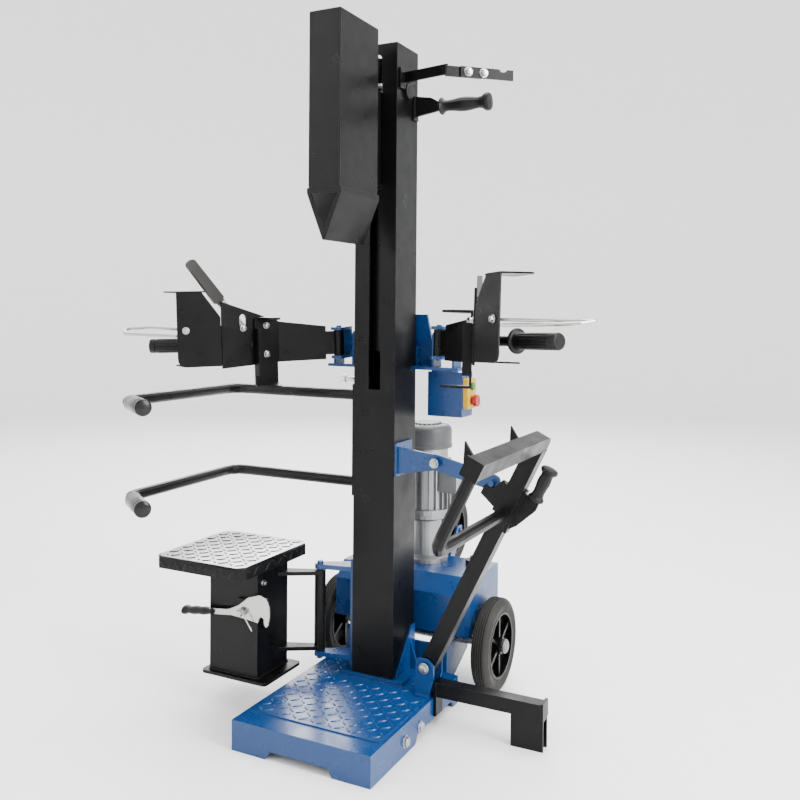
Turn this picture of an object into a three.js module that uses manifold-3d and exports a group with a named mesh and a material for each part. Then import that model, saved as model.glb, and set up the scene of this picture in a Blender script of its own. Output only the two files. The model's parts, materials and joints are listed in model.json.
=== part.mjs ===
// Vertical hydraulic log splitter with a swing-in table, two-hand arms and a log lifter.
// Units are millimetres, +X is to the right of the machine seen from the front, +Y is to its
// back, +Z is up, and the floor is z = 0. The splitting column stands on the Z axis.
import * as THREE from 'three';
import { mergeVertices } from 'three/addons/utils/BufferGeometryUtils.js';
import Module from 'manifold-3d';

const wasm = await Module();
wasm.setup();

// ---------------------------------------------------------------- driving dimensions
const GAP = 0.3;                       // air left between pieces that touch
const FIT = 0.4;                       // running clearance of pins and shafts

const TRAY = { half: 186, front: -408, back: 72, top: 72, sheet: 5, notchHeight: 20 };
const TREAD = { half: 176, front: -350, back: 68, thickness: 3 };
const COLUMN = { halfX: 60, halfY: 61, wall: 8, top: 1723, slotHalf: 17, slotLow: 830, slotTop: 1698 };
const PIN = { z: 1609, radius: 15, headRadius: 22, headHeight: 8 };
const CYLINDER = { outer: 40, inner: 33, rod: 22, bottom: 930, top: 1555 };
const BLADE = { halfX: 42, front: -315, back: -130, top: 1737, shoulder: 1323, edge: 1200, wall: 8 };
const BRACKET = { shelfZ: 880, shelf: 8, tiltY: 60, tiltZ: 950, pin: 8, earInner: 124, earOuter: 176 };
const SWING = { x: 150, y: 12, pin: 7, barrel: 14, lugLow: 907, lugTop: 985, lug: 8 };
const ARM = { knee: [285, -81], guard: [350, -240], tip: [436.5, -314.4], sheet: 6, low: 902, high: 1012 };
const GUARD = { low: 905, high: 1101, sheet: 4, cornerRadius: 24 };
const HANDLE = { root: [318, -152], end: [559, -281], z: 955, tube: 12, grip: 19, gripLength: 128,
  disc: 29 };
const ARM_TILT = 3.2;                  // degrees each arm is off level as it is parked
const WIRE = 4;                        // radius of the zinc hand hoop
const CLAMP_LEAN = { left: 39, right: -60 };   // degrees from upright that each lever is parked at
const MOTOR = { y: 262, radius: 74, low: 452, fins: 536, cowl: 640, top: 712 };
const TANK = { halfX: 205, front: 100, back: 318, low: 165, high: 312, sheet: 4, slope: 42 };
const WHEEL = { radius: 125, width: 50, x: 217, y: 192, z: 125, rim: 88, hub: 22, bore: 12 };
const SUPPORT = { radius: 110, width: 44, y: 439.8, z: 358, rim: 76, hub: 18, bore: 8 };
const TABLE = { x: -323.5, y: -223.5, halfX: 136.5, halfY: 148.5, top: 415, sheet: 5, lip: 30 };
const PEDESTAL = { x0: -396, x1: -244, y0: -228, y1: -92, low: 80, sheet: 5 };
const HINGE = { x: -156, y: -67.5, pin: 8, barrel: 15 };
const CATCH = { radius: 14, sleeve: 19, reach: -490, front: -440, tip: [-346, -534], high: 808, low: 574 };
const LIFTER = { x: 166, y: -65, z: 148, lean: 26, length: 668, tube: 40, barFront: -496,
  drop: 172, round: 14 };
const LATCH = { x: 178, z: 655, boltRadius: 7, seatReach: 59.5, seatHeight: 495 };
const SWITCH = { x0: 82, x1: 182, y0: 93, y1: 165, z0: 752, z1: 872 };
const BUTTON = { y: 129, stopZ: 796, startZ: 834, radius: 10 };

// ---------------------------------------------------------------- finishes
const finish = (color, metalness, roughness) => (
  new THREE.MeshStandardMaterial({ color, metalness, roughness }));
const BLACK = finish(0x1b1b1d, 0.35, 0.45);
const BLUE = finish(0x0f4fa8, 0.3, 0.4);
const ZINC = finish(0xb9bcc0, 0.9, 0.35);
const STEEL = finish(0xc9ccd0, 0.95, 0.2);
const RUBBER = finish(0x2a2a2c, 0.0, 0.85);
const GRIP = finish(0x202022, 0.0, 0.6);
const GREY = finish(0x8a8e92, 0.5, 0.45);
const YELLOW = finish(0xe8c81e, 0.0, 0.4);
const RED = finish(0xc81a14, 0.0, 0.35);
const GREEN = finish(0x1c8a3a, 0.0, 0.35);

// ---------------------------------------------------------------- solids
/** A closed three.js geometry as a manifold solid. */
function solid(geometry) {
  const clean = geometry.clone();
  clean.deleteAttribute('normal');
  clean.deleteAttribute('uv');
  const merged = mergeVertices(clean, 1e-4);
  const mesh = new wasm.Mesh({
    numProp: 3,
    vertProperties: new Float32Array(merged.attributes.position.array),
    triVerts: new Uint32Array(merged.index.array),
  });
  return new wasm.Manifold(mesh);
}

const add = (...parts) => parts.reduce((total, next) => total.add(next));
const cut = (body, ...tools) => tools.reduce((total, next) => total.subtract(next), body);

/** Axis-aligned box between two corners. */
function box(x0, x1, y0, y1, z0, z1) {
  const geometry = new THREE.BoxGeometry(x1 - x0, y1 - y0, z1 - z0);
  geometry.translate((x0 + x1) / 2, (y0 + y1) / 2, (z0 + z1) / 2);
  return solid(geometry);
}

/** Cylinder along an axis, from one coordinate to another, about the other two. */
function rod(axis, from, to, centre, radius, segments = 20) {
  const geometry = new THREE.CylinderGeometry(radius, radius, to - from, segments);
  const middle = (from + to) / 2;
  if (axis === 'x') geometry.rotateZ(Math.PI / 2).translate(middle, centre[0], centre[1]);
  if (axis === 'y') geometry.translate(centre[0], middle, centre[1]);
  if (axis === 'z') geometry.rotateX(Math.PI / 2).translate(centre[0], centre[1], middle);
  return solid(geometry);
}

function outline(points) {
  return new THREE.Shape(points.map(([a, b]) => new THREE.Vector2(a, b)));
}

/** Polygon with points in (x, y), raised between two heights. */
function slab(points, z0, z1) {
  const geometry = new THREE.ExtrudeGeometry(outline(points), { depth: z1 - z0, bevelEnabled: false });
  geometry.translate(0, 0, z0);
  return solid(geometry);
}

/** Polygon with points in (y, z), run along X. */
function profileX(points, x0, x1) {
  const geometry = new THREE.ExtrudeGeometry(outline(points), { depth: x1 - x0, bevelEnabled: false });
  const basis = new THREE.Matrix4().makeBasis(
    new THREE.Vector3(0, 1, 0), new THREE.Vector3(0, 0, 1), new THREE.Vector3(1, 0, 0));
  geometry.applyMatrix4(basis).translate(x0, 0, 0);
  return solid(geometry);
}

/** Polygon with points in (x, z), run along Y. */
function profileY(points, y0, y1) {
  const geometry = new THREE.ExtrudeGeometry(outline(points), { depth: y1 - y0, bevelEnabled: false });
  const basis = new THREE.Matrix4().makeBasis(
    new THREE.Vector3(1, 0, 0), new THREE.Vector3(0, 0, 1), new THREE.Vector3(0, -1, 0));
  geometry.applyMatrix4(basis).translate(0, y1, 0);
  return solid(geometry);
}

/** Plate standing on a plan line from a to b. Its points are (distance along the line, height). */
function wallPlate(a, b, thickness, points, offset = 0) {
  const along = new THREE.Vector3(b[0] - a[0], b[1] - a[1], 0).normalize();
  const normal = new THREE.Vector3().crossVectors(along, new THREE.Vector3(0, 0, 1));
  const geometry = new THREE.ExtrudeGeometry(outline(points), { depth: thickness, bevelEnabled: false });
  geometry.translate(0, 0, offset - thickness / 2);
  geometry.applyMatrix4(new THREE.Matrix4().makeBasis(along, new THREE.Vector3(0, 0, 1), normal));
  geometry.translate(a[0], a[1], 0);
  return solid(geometry);
}

/** Point list with one corner replaced by an arc of the given radius. */
function rounded(points, radii, steps = 5) {
  const result = [];
  points.forEach((point, i) => {
    const radius = radii[i] ?? 0;
    if (radius === 0) {
      result.push(point);
      return;
    }
    const here = new THREE.Vector2(...point);
    const previous = points[(i + points.length - 1) % points.length];
    const before = new THREE.Vector2(...previous).sub(here).normalize();
    const after = new THREE.Vector2(...points[(i + 1) % points.length]).sub(here).normalize();
    const reach = radius / Math.tan(Math.acos(before.dot(after)) / 2);
    const curve = new THREE.QuadraticBezierCurve(
      here.clone().addScaledVector(before, reach), here, here.clone().addScaledVector(after, reach));
    curve.getPoints(steps).forEach((p) => result.push([p.x, p.y]));
  });
  return result;
}

/** Line through points with its inner corners eased to the bend radius. */
function bentLine(points, bend) {
  const corners = points.map((p) => new THREE.Vector3(...p));
  const path = new THREE.CurvePath();
  let start = corners[0];
  for (let i = 1; i < corners.length - 1; i += 1) {
    const here = corners[i];
    const before = corners[i - 1].clone().sub(here).normalize();
    const after = corners[i + 1].clone().sub(here).normalize();
    const reach = bend / Math.tan(before.angleTo(after) / 2);
    const entry = here.clone().addScaledVector(before, reach);
    const exit = here.clone().addScaledVector(after, reach);
    path.add(new THREE.LineCurve3(start, entry));
    path.add(new THREE.QuadraticBezierCurve3(entry, here, exit));
    start = exit;
  }
  path.add(new THREE.LineCurve3(start, corners[corners.length - 1]));
  return path;
}

/** Round bar along a bent line, with twice the given number of sides. */
function bentBar(points, bend, radius, segments = 6, pitch = 24) {
  const path = bentLine(points, bend);
  const circle = new THREE.Shape();
  circle.absarc(0, 0, radius, 0, Math.PI * 2);
  const steps = Math.max(2, Math.ceil(path.getLength() / pitch));
  const geometry = new THREE.ExtrudeGeometry(circle, { steps, extrudePath: path, curveSegments: segments });
  return solid(geometry);
}

/** Solid of revolution about an axis; the profile is (radius, distance along the axis). */
function turned(axis, profile, centre, segments = 40) {
  const geometry = new THREE.LatheGeometry(profile.map(([r, h]) => new THREE.Vector2(r, h)), segments);
  if (axis === 'x') geometry.rotateZ(-Math.PI / 2);
  if (axis === 'z') geometry.rotateX(Math.PI / 2);
  geometry.translate(...centre);
  return solid(geometry);
}

const hexagon = (radius) => Array.from({ length: 6 }, (_, i) => {
  const angle = (i * Math.PI) / 3;
  return [radius * Math.cos(angle), radius * Math.sin(angle)];
});

// ---------------------------------------------------------------- nodes
const part = new THREE.Group();
part.name = 'log_splitter';

/** Adds one named piece to the part. */
function piece(name, body, material) {
  const mesh = body.getMesh();
  const geometry = new THREE.BufferGeometry();
  const count = mesh.vertProperties.length / mesh.numProp;
  const positions = new Float32Array(count * 3);
  for (let i = 0; i < count; i += 1) {
    positions.set(mesh.vertProperties.subarray(i * mesh.numProp, i * mesh.numProp + 3), i * 3);
  }
  geometry.setAttribute('position', new THREE.BufferAttribute(positions, 3));
  geometry.setIndex(new THREE.BufferAttribute(new Uint32Array(mesh.triVerts), 1));
  geometry.computeVertexNormals();
  const node = new THREE.Mesh(geometry, material.clone());
  node.name = name;
  part.add(node);
}

// ---------------------------------------------------------------- base tray, column, outrigger
/** Folded tray with its tread sheet. */
function baseTray() {
  const { half, front, back, top, sheet, notchHeight } = TRAY;
  const shell = cut(
    box(-half, half, front, back, 0, top),
    box(-half + sheet, half - sheet, front + sheet, back - sheet, -1, top - sheet));
  const frontNotch = profileY([[-92, -1], [90, -1], [76, notchHeight], [-78, notchHeight]],
    front - 1, front + 9);
  const sideNotch = profileX([[-186, -1], [44, -1], [30, notchHeight], [-172, notchHeight]],
    -half - 1, half + 1);
  const tread = box(-TREAD.half, TREAD.half, TREAD.front, TREAD.back, top - 1, top + TREAD.thickness);
  return add(cut(shell, frontNotch, sideNotch), tread);
}

function column() {
  const { halfX, halfY, wall, top, slotHalf, slotLow, slotTop } = COLUMN;
  const floor = TRAY.top + TREAD.thickness + GAP;
  const tube = cut(
    box(-halfX, halfX, -halfY, halfY, floor, top),
    box(-halfX + wall, halfX - wall, -halfY + wall, halfY - wall, floor + 10, top + 1));
  const slot = add(
    box(-slotHalf, slotHalf, -halfY - 1, -halfY + wall + 1, slotLow, slotTop - slotHalf),
    rod('y', -halfY - 1, -halfY + wall + 1, [0, slotTop - slotHalf], slotHalf));
  const pinBore = rod('x', -halfX - 1, halfX + 1, [0, PIN.z], PIN.radius + FIT);
  return cut(tube, slot, pinBore);
}

/** Collar, ribs and side fins that hold the foot of the column. */
function columnFoot() {
  const z = TRAY.top + TREAD.thickness;
  const inner = COLUMN.halfX + GAP;
  const collar = cut(
    box(-92, 92, -COLUMN.halfY - 8, COLUMN.halfY + 9, z - 1, z + 10),
    box(-inner, inner, -COLUMN.halfY - GAP, COLUMN.halfY + GAP, z, z + 11));
  const rib = profileX([[-52, z + 9], [60, z + 9], [60, z + 120], [40, z + 120]], inner, inner + 5);
  const fin = profileY([[inner + 1, z + 9], [90, z + 9], [inner + 1, z + 96]], 30, 38);
  return add(collar, rib, fin, fin.mirror([1, 0, 0]));
}

/** Box beam behind the tray that carries the axle. */
function axleBeam() {
  const { y, z, bore } = WHEEL;
  const front = TRAY.back - 1;
  const cheek = (x) => profileX(rounded([[front, 24], [y + 26, z - 30], [y + 26, TRAY.top + 72],
    [front, TRAY.top + 72]],
    [0, 14, 0, 0]), x - 4, x + 4);
  const cross = box(-154, 154, front, front + 8, 24, TRAY.top + 72);
  return cut(add(cheek(-150), cheek(150), cross), rod('x', -160, 160, [y, z], bore + GAP));
}

function outrigger() {
  const { half } = TRAY;
  const beam = box(half + GAP, 462, -82, -47, 76, 111);
  const endPlate = box(462, 469, -85, -44, 76, 115);
  const foot = cut(box(388, 468, -82, -47, 0, 76.5), box(393, 469, -77, -52, -1, 70));
  const flange = box(half + GAP, half + 8, -84, -45, 28, 111);
  return add(beam, endPlate, foot, flange);
}

piece('base_frame', add(baseTray(), columnFoot(), axleBeam()), BLUE);
piece('column', column(), BLACK);
piece('outrigger', outrigger(), BLACK);

// ---------------------------------------------------------------- cylinder and blade
function cylinderPin() {
  const shank = rod('x', -COLUMN.halfX - 4, COLUMN.halfX + 2, [0, PIN.z], PIN.radius);
  const head = rod('x', COLUMN.halfX + GAP, COLUMN.halfX + PIN.headHeight, [0, PIN.z], PIN.headRadius);
  const clip = rod('x', -COLUMN.halfX - 6, -COLUMN.halfX - GAP, [0, PIN.z], PIN.radius + 4);
  return add(shank, head, clip);
}

function pistonRod() {
  const eye = rod('x', -24, 24, [0, PIN.z], 30);
  const stem = rod('z', CYLINDER.bottom + 45, PIN.z - 10, [0, 0], CYLINDER.rod);
  const piston = rod('z', CYLINDER.bottom + 25, CYLINDER.bottom + 60, [0, 0], CYLINDER.inner - FIT);
  return cut(add(eye, stem, piston), rod('x', -30, 30, [0, PIN.z], PIN.radius + FIT));
}

function cylinderBarrel() {
  const { outer, inner, bottom, top } = CYLINDER;
  const body = rod('z', bottom, top, [0, 0], outer, 32);
  const gland = rod('z', top - 30, top, [0, 0], outer + 3, 32);
  const hollow = rod('z', bottom + 18, top - 35, [0, 0], inner, 32);
  return cut(add(body, gland), hollow, rod('z', top - 40, top + 1, [0, 0], CYLINDER.rod + FIT, 32));
}

function bladeCarriage() {
  const { slotHalf, halfY, wall } = COLUMN;
  const inside = -halfY + wall;
  const web = box(-slotHalf + 3, slotHalf - 3, BLADE.back + GAP, inside + 10, 1360, 1600);
  const shoe = box(-49, 49, inside + 1.5, inside + 9, 1350, 1540);
  return cut(add(web, shoe), rod('z', 1300, 1640, [0, 0], CYLINDER.outer + 3 + GAP, 32));
}

function bladeBody() {
  const { halfX, front, back, top, shoulder, wall } = BLADE;
  return cut(
    box(-halfX, halfX, front, back, shoulder + GAP, top),
    box(-halfX + wall, halfX - wall, front + wall, back - wall, shoulder + 12, top + 1));
}

function wedge() {
  const { halfX, front, back, shoulder, edge } = BLADE;
  const flare = halfX + 5;
  const vee = profileY([[-flare, shoulder], [flare, shoulder], [flare, shoulder - 12], [3, edge],
    [-3, edge],
    [-flare, shoulder - 12]], front, back);
  const hollow = profileY([[-halfX + 6, shoulder - 14], [halfX - 6, shoulder - 14], [0, edge + 26]],
    front - 1, front + 22);
  return cut(vee, hollow);
}

piece('cylinder_pin', cylinderPin(), ZINC);
piece('piston_rod', pistonRod(), STEEL);
piece('cylinder_barrel', cylinderBarrel(), BLACK);
piece('blade_carriage', bladeCarriage(), BLACK);
piece('blade_body', bladeBody(), BLACK);
piece('blade_wedge', wedge(), BLACK);

// ---------------------------------------------------------------- control arms
function armBracket() {
  const { shelfZ, shelf, tiltY, tiltZ, pin, earInner, earOuter } = BRACKET;
  const clear = COLUMN.halfX + GAP;
  const plate = slab([[-196, 30], [-clear, 30], [-clear, COLUMN.halfY + GAP], [clear, COLUMN.halfY + GAP],
    [clear, 30], [196, 30], [196, 92], [-196, 92]], shelfZ, shelfZ + shelf);
  const back = profileY([[-112, shelfZ + 4], [112, shelfZ + 4], [82, 1026], [-82, 1026]], 84, 92);
  const strap = box(-clear - 6, clear + 6, COLUMN.halfY + GAP, 86, shelfZ + 4, shelfZ + 60);
  const parts = [plate, back, strap];
  for (const side of [-1, 1]) {
    for (const x of [earInner - 6, earOuter]) {
      const [x0, x1] = [side * x, side * (x + 6)].sort((a, b) => a - b);
      parts.push(profileX(rounded([[38, shelfZ + 2], [88, shelfZ + 2], [82, 980], [38, 980]],
        [0, 0, 16, 16]), x0, x1));
    }
    const [p0, p1] = [side * (earInner - 10), side * (earOuter + 10)].sort((a, b) => a - b);
    parts.push(rod('x', p0, p1, [tiltY, tiltZ], pin));
  }
  return add(...parts);
}

/** Turns a right-hand arm solid into the wanted side and parks it at its tilt. */
function placeArm(body, side) {
  const mirrored = side > 0 ? body : body.mirror([1, 0, 0]);
  return mirrored
    .translate([0, -BRACKET.tiltY, -BRACKET.tiltZ])
    .rotate([-side * ARM_TILT, 0, 0])
    .translate([0, BRACKET.tiltY, BRACKET.tiltZ]);
}

function yoke() {
  const { tiltY, tiltZ, pin, earInner, earOuter } = BRACKET;
  const { x, y, barrel, lugLow, lugTop, lug } = SWING;
  const hub = rod('x', earInner + 0.5, earOuter - 0.5, [tiltY, tiltZ], 20);
  const web = box(x - 20, x + 20, 40, 50, lugLow, lugTop + lug);
  const lugs = [lugLow, lugTop].map((z) => slab(
    rounded([[x - 20, 45], [x - 20, y - 18], [x + 20, y - 18], [x + 20, 45]], [0, 14, 14, 0]), z, z + lug));
  const swingPin = rod('z', lugLow - 3, lugTop + lug + 4, [x, y], SWING.pin);
  const bore = rod('x', earInner - 1, earOuter + 1, [tiltY, tiltZ], pin + FIT);
  return add(cut(add(hub, web, ...lugs), bore, rod('z', lugLow + lug, lugTop, [x, y], barrel + 2)),
    swingPin);
}

function armPlate() {
  const { knee, guard, sheet, low, high } = ARM;
  const root = [SWING.x, SWING.y];
  const first = Math.hypot(knee[0] - root[0], knee[1] - root[1]);
  const second = Math.hypot(guard[0] - knee[0], guard[1] - knee[1]);
  const rear = wallPlate(root, knee, sheet, [[8, 918], [36, 918], [36, 905], [first + 1, low],
    [first + 1, high],
    [36, 996], [36, 982], [8, 982]]);
  const front = wallPlate(knee, guard, sheet, [[-1, low], [second + 2, low - 4], [second + 2,
    1072], [-1, high]]);
  const barrel = rod('z', SWING.lugLow + SWING.lug + 0.5, SWING.lugTop - 0.5, root, SWING.barrel);
  const fold = rod('z', low + 1, high - 2, knee, sheet / 2 + 0.5, 12);
  const [dx, dy] = [HANDLE.end[0] - HANDLE.root[0], HANDLE.end[1] - HANDLE.root[1]];
  const length = Math.hypot(dx, dy);
  const tube = bentBar([[HANDLE.root[0], HANDLE.root[1], HANDLE.z],
    [HANDLE.end[0] - (dx / length) * 8, HANDLE.end[1] - (dy / length) * 8, HANDLE.z]], 1,
      HANDLE.tube, 9, 400);
  const window = armWindow();
  const bore = rod('z', low, high, root, SWING.pin + FIT);
  return cut(add(rear, front, barrel, fold, tube), window, bore);
}

/** Oval window in the front half of the arm that the clamp lever is seen through. */
function armWindow() {
  const { knee, guard } = ARM;
  const middle = 112;
  const points = [];
  for (let i = 0; i < 20; i += 1) {
    const angle = (i / 20) * Math.PI * 2;
    points.push([middle + 11 * Math.cos(angle),
      1014 + 14 * Math.sin(angle) + (Math.sin(angle) > 0 ? 9 : -9)]);
  }
  return wallPlate(knee, guard, 30, points);
}

function handGuard() {
  const { guard, tip } = ARM;
  const { low, high, sheet, cornerRadius } = GUARD;
  const width = Math.hypot(tip[0] - guard[0], tip[1] - guard[1]);
  const shape = rounded([[4, low], [width, low], [width, high], [52, high], [4, high - 68]], [0,
    cornerRadius, 4, 4, 4]);
  const web = wallPlate(guard, tip, sheet, shape);
  const inner = [guard[0] + 6, guard[1] - 2];
  const start = [guard[0] + 30, guard[1] - 24];
  const top = slab(rounded([start, [tip[0], tip[1] - 1], [tip[0] + 71, tip[1] + 26],
    [start[0] + 58, start[1] + 40]],
    [0, 0, 10, 10]), high - sheet, high);
  const bottom = slab([[inner[0] + 8, inner[1] - 6], [tip[0] - 14, tip[1] + 12], [tip[0] + 36, tip[1] + 34],
    [inner[0] + 50, inner[1] + 16]], low, low + sheet);
  return add(web, top, bottom);
}

function handGrip() {
  const start = new THREE.Vector2(...HANDLE.root);
  const end = new THREE.Vector2(...HANDLE.end);
  const along = end.clone().sub(start).normalize();
  const at = (distance) => {
    const p = end.clone().addScaledVector(along, -distance);
    return [p.x, p.y, HANDLE.z];
  };
  const { grip, disc, gripLength, tube } = HANDLE;
  const sleeve = bentBar([at(gripLength), at(0)], 1, grip, 12, 400);
  const flange = bentBar([at(gripLength + 6), at(gripLength - 6)], 1, disc, 12, 400);
  const bore = bentBar([at(gripLength + 8), at(8 - GAP)], 1, tube + GAP, 9, 400);
  return cut(add(sleeve, flange), bore);
}

function wireGuard() {
  const { tip } = ARM;
  return bentBar([[tip[0] - 29, tip[1] + 34, 1000], [600, -238, 1000], [640, -286, 1000], [604, -328, 990],
    [tip[0] + 4, tip[1] + 2, 986]], 18, WIRE, 4, 18);
}

function logClaw() {
  const { knee, guard, sheet } = ARM;
  const [low, high] = [842, 1027];
  const offset = sheet / 2 + GAP + 3;
  const web = wallPlate(knee, guard, 6, rounded([[10, low], [80, low], [80, high], [10, high]], [8,
    8, 8, 8]), offset);
  const along = new THREE.Vector2(guard[0] - knee[0], guard[1] - knee[1]).normalize();
  const inward = new THREE.Vector2(along.y, -along.x);
  const spot = (s, depth) => {
    const p = new THREE.Vector2(...knee).addScaledVector(along, s).addScaledVector(inward, depth);
    return [p.x, p.y];
  };
  const tooth = (z) => slab([spot(14, sheet / 2 + 1), spot(76, sheet / 2 + 1), spot(66, 52), spot(46, 78),
    spot(26, 52)], z, z + 6);
  const fold = wallPlate(knee, guard, 22, [[74, low + 30], [80, low + 30], [80, high - 30], [74,
    high - 30]], offset + 9);
  return add(web, tooth(low), tooth(high - 6), fold);
}

/** Clamp lever in the front plane of the arm, leaning from upright by the given angle. */
function clampLever(lean) {
  const { knee, guard, sheet } = ARM;
  const pivot = [112, 1000];
  const tilt = THREE.MathUtils.degToRad(lean);
  const spin = ([s, z]) => [pivot[0] + s * Math.cos(tilt) + z * Math.sin(tilt),
    pivot[1] - s * Math.sin(tilt) + z * Math.cos(tilt)];
  const offset = -(sheet / 2 + 1 + 3);
  const blade = wallPlate(knee, guard, 5,
    rounded([[-14, -16], [14, -16], [10, 142], [-10, 142]], [8, 8, 4, 4]).map(spin), offset);
  const grip = wallPlate(knee, guard, 14,
    rounded([[-15, 96], [15, 96], [13, 228], [-13, 228]], [3, 3, 10, 10]).map(spin), offset - 3.5);
  const stud = wallPlate(knee, guard, 9, hexagon(8).map(spin), offset - 5);
  return add(blade, grip, stud);
}

piece('arm_bracket', armBracket(), BLUE);
for (const [suffix, side] of [['left', -1], ['right', 1]]) {
  piece(`yoke_${suffix}`, placeArm(yoke(), side), BLUE);
  piece(`arm_${suffix}`, placeArm(armPlate(), side), BLACK);
  piece(`hand_guard_${suffix}`, placeArm(handGuard(), side), BLACK);
  piece(`hand_grip_${suffix}`, placeArm(handGrip(), side), GRIP);
  piece(`wire_guard_${suffix}`, placeArm(wireGuard(), side), ZINC);
  piece(`log_claw_${suffix}`, placeArm(logClaw(), side), BLACK);
  piece(`clamp_lever_${suffix}`, placeArm(clampLever(CLAMP_LEAN[suffix]), side), GRIP);
}

// ---------------------------------------------------------------- power pack
function oilTank() {
  const { halfX, front, back, low, high, sheet, slope } = TANK;
  const skin = (inset) => profileX([[front + inset, low + inset], [back - inset, low + inset],
    [back - inset, high - inset], [front + slope, high - inset], [front + inset, high - slope]],
  -halfX + inset, halfX - inset);
  const shell = cut(skin(0), skin(sheet));
  const pumpHole = rod('z', high - sheet - 1, high + 1, [0, MOTOR.y], 52);
  const fillerHole = rod('z', high - sheet - 1, high + 1, [150, 262], 16);
  const saddles = [-1, 1].map((side) => profileX([[front + 40, low - 20], [front + 130, low - 20],
    [front + 130, low + 2], [front + 40, low + 2]], side * 150 - 4, side * 150 + 4));
  return add(cut(shell, pumpHole, fillerHole), ...saddles);
}

function fillerCap() {
  const z = TANK.high + GAP;
  return add(rod('z', z, z + 16, [150, 262], 22), rod('z', z + 15, z + 26, [150, 262], 9),
    rod('z', z - 70, z + 1, [150, 262], 3, 10));
}

function bellHousing() {
  const z = TANK.high + GAP;
  const profile = [[0, z - 30], [40, z - 30], [40, z], [66, z], [66, z + 12], [46, z + 20], [46,
    MOTOR.low - 22],
    [70, MOTOR.low - 12], [70, MOTOR.low - GAP], [0, MOTOR.low - GAP]];
  return turned('z', profile, [0, MOTOR.y, 0], 28);
}

function gearPump() {
  const z = TANK.high - 30;
  return add(box(-38, 38, MOTOR.y - 32, MOTOR.y + 32, z - 84, z - GAP),
    rod('z', z - 104, z - 83, [20, MOTOR.y], 9), rod('x', -56, -37, [MOTOR.y, z - 42], 9));
}

function motorHousing() {
  const { radius, low, fins, cowl, y } = MOTOR;
  const core = rod('z', low, cowl - GAP, [0, y], radius - 10, 36);
  const flange = rod('z', low, low + 14, [0, y], radius, 36);
  const parts = [core, flange];
  for (let i = 0; i < 22; i += 1) {
    const angle = (i / 22) * 360;
    parts.push(box(-1.8, 1.8, radius - 14, radius, low + 16, fins + 70).rotate([0, 0,
      angle]).translate([0, y, 0]));
  }
  const terminalBox = box(radius - 16, radius + 40, y - 42, y + 42, low + 66, low + 140);
  return add(...parts, terminalBox);
}

function fanCowl() {
  const { radius, cowl, top, y } = MOTOR;
  const profile = [[0, top], [radius - 26, top - 2], [radius - 6, top - 14], [radius + 2, top - 30],
    [radius + 2, cowl], [0, cowl]].reverse();
  return turned('z', profile, [0, y, 0], 36);
}

function valveBlock() {
  const block = box(-150, -72, 96, 150, 792, 872);
  const ports = [-132, -92].map((x) => rod('z', 772, 793, [x, 122], 11, 12));
  return cut(add(block, ...ports), rod('x', -170, -60, [123, 838], 8 + FIT));
}

piece('oil_tank', oilTank(), BLUE);
piece('filler_cap', fillerCap(), GRIP);
piece('bell_housing', bellHousing(), GREY);
piece('gear_pump', gearPump(), GREY);
piece('motor_housing', motorHousing(), GREY);
piece('fan_cowl', fanCowl(), GREY);
piece('valve_block', valveBlock(), GREY);
piece('valve_spool', add(rod('x', -196, -64, [123, 838], 8), rod('x', -204, -190, [123, 838], 12)), STEEL);
piece('pressure_hose', bentBar([[-132, 122, 771.5], [-132, 122, 700], [-112, 150, 560], [-104, 210, 400],
  [-66 - GAP, 236, 330]], 26, 9, 5, 26), RUBBER);

// ---------------------------------------------------------------- switch box
function switchBox() {
  const { x0, x1, y0, y1, z0, z1 } = SWITCH;
  const tab = box(x0 + 20, x1 - 20, y0 - 20, y0 + 20, z1 - 2, BRACKET.shelfZ - GAP);
  return add(box(x0, x1, y0, y1, z0, z1), tab);
}

function switchBase() {
  const { x1, y0, y1 } = SWITCH;
  const plate = profileX(rounded([[y0 + 6, 774], [y1 - 6, 774], [y1 - 6, 856], [y0 + 6, 856]], [8,
    8, 8, 8]),
    x1 + GAP, x1 + 14);
  const holes = [BUTTON.stopZ, BUTTON.startZ].map((z) => rod('x', x1 + 5, x1 + 15, [BUTTON.y, z],
    BUTTON.radius + FIT));
  return cut(plate, ...holes);
}

function button(z, reach) {
  const base = SWITCH.x1;
  return rod('x', base + 10, base + reach, [BUTTON.y, z], BUTTON.radius);
}

/** Five-pole inlet on the back of the switch box. */
function powerInlet() {
  const { x0, y1, z0 } = SWITCH;
  const centre = [x0 + 42, z0 + 60];
  const body = add(rod('y', y1 + GAP, y1 + 14, centre, 33), rod('y', y1 + 13, y1 + 62, centre, 28));
  const cup = cut(body, rod('y', y1 + 20, y1 + 63, centre, 24));
  const pins = Array.from({ length: 5 }, (_, i) => {
    const angle = (i / 5) * Math.PI * 2;
    const spot = [centre[0] + 14 * Math.cos(angle), centre[1] + 14 * Math.sin(angle)];
    return rod('y', y1 + 19, y1 + 52, spot, 3, 10);
  });
  return add(cup, ...pins);
}

piece('switch_box', switchBox(), BLUE);
piece('switch_base', switchBase(), YELLOW);
piece('stop_button', add(button(BUTTON.stopZ, 24), rod('x', SWITCH.x1 + 22, SWITCH.x1 + 32,
  [BUTTON.y, BUTTON.stopZ], 16)), RED);
piece('start_button', button(BUTTON.startZ, 20), GREEN);
piece('power_inlet', powerInlet(), RED);

// ---------------------------------------------------------------- wheels
/** Tyre turned about the X axis. */
function tyre(wheel, x0) {
  const { radius, width, rim } = wheel;
  const half = [[rim + GAP, 3], [radius - 16, 1], [radius - 5, 4], [radius, 11]];
  const mirrored = half.map(([r, h]) => [r, width - h]).reverse();
  return turned('x', [...half, ...mirrored, half[0]], [x0, wheel.y, wheel.z], 40);
}

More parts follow.
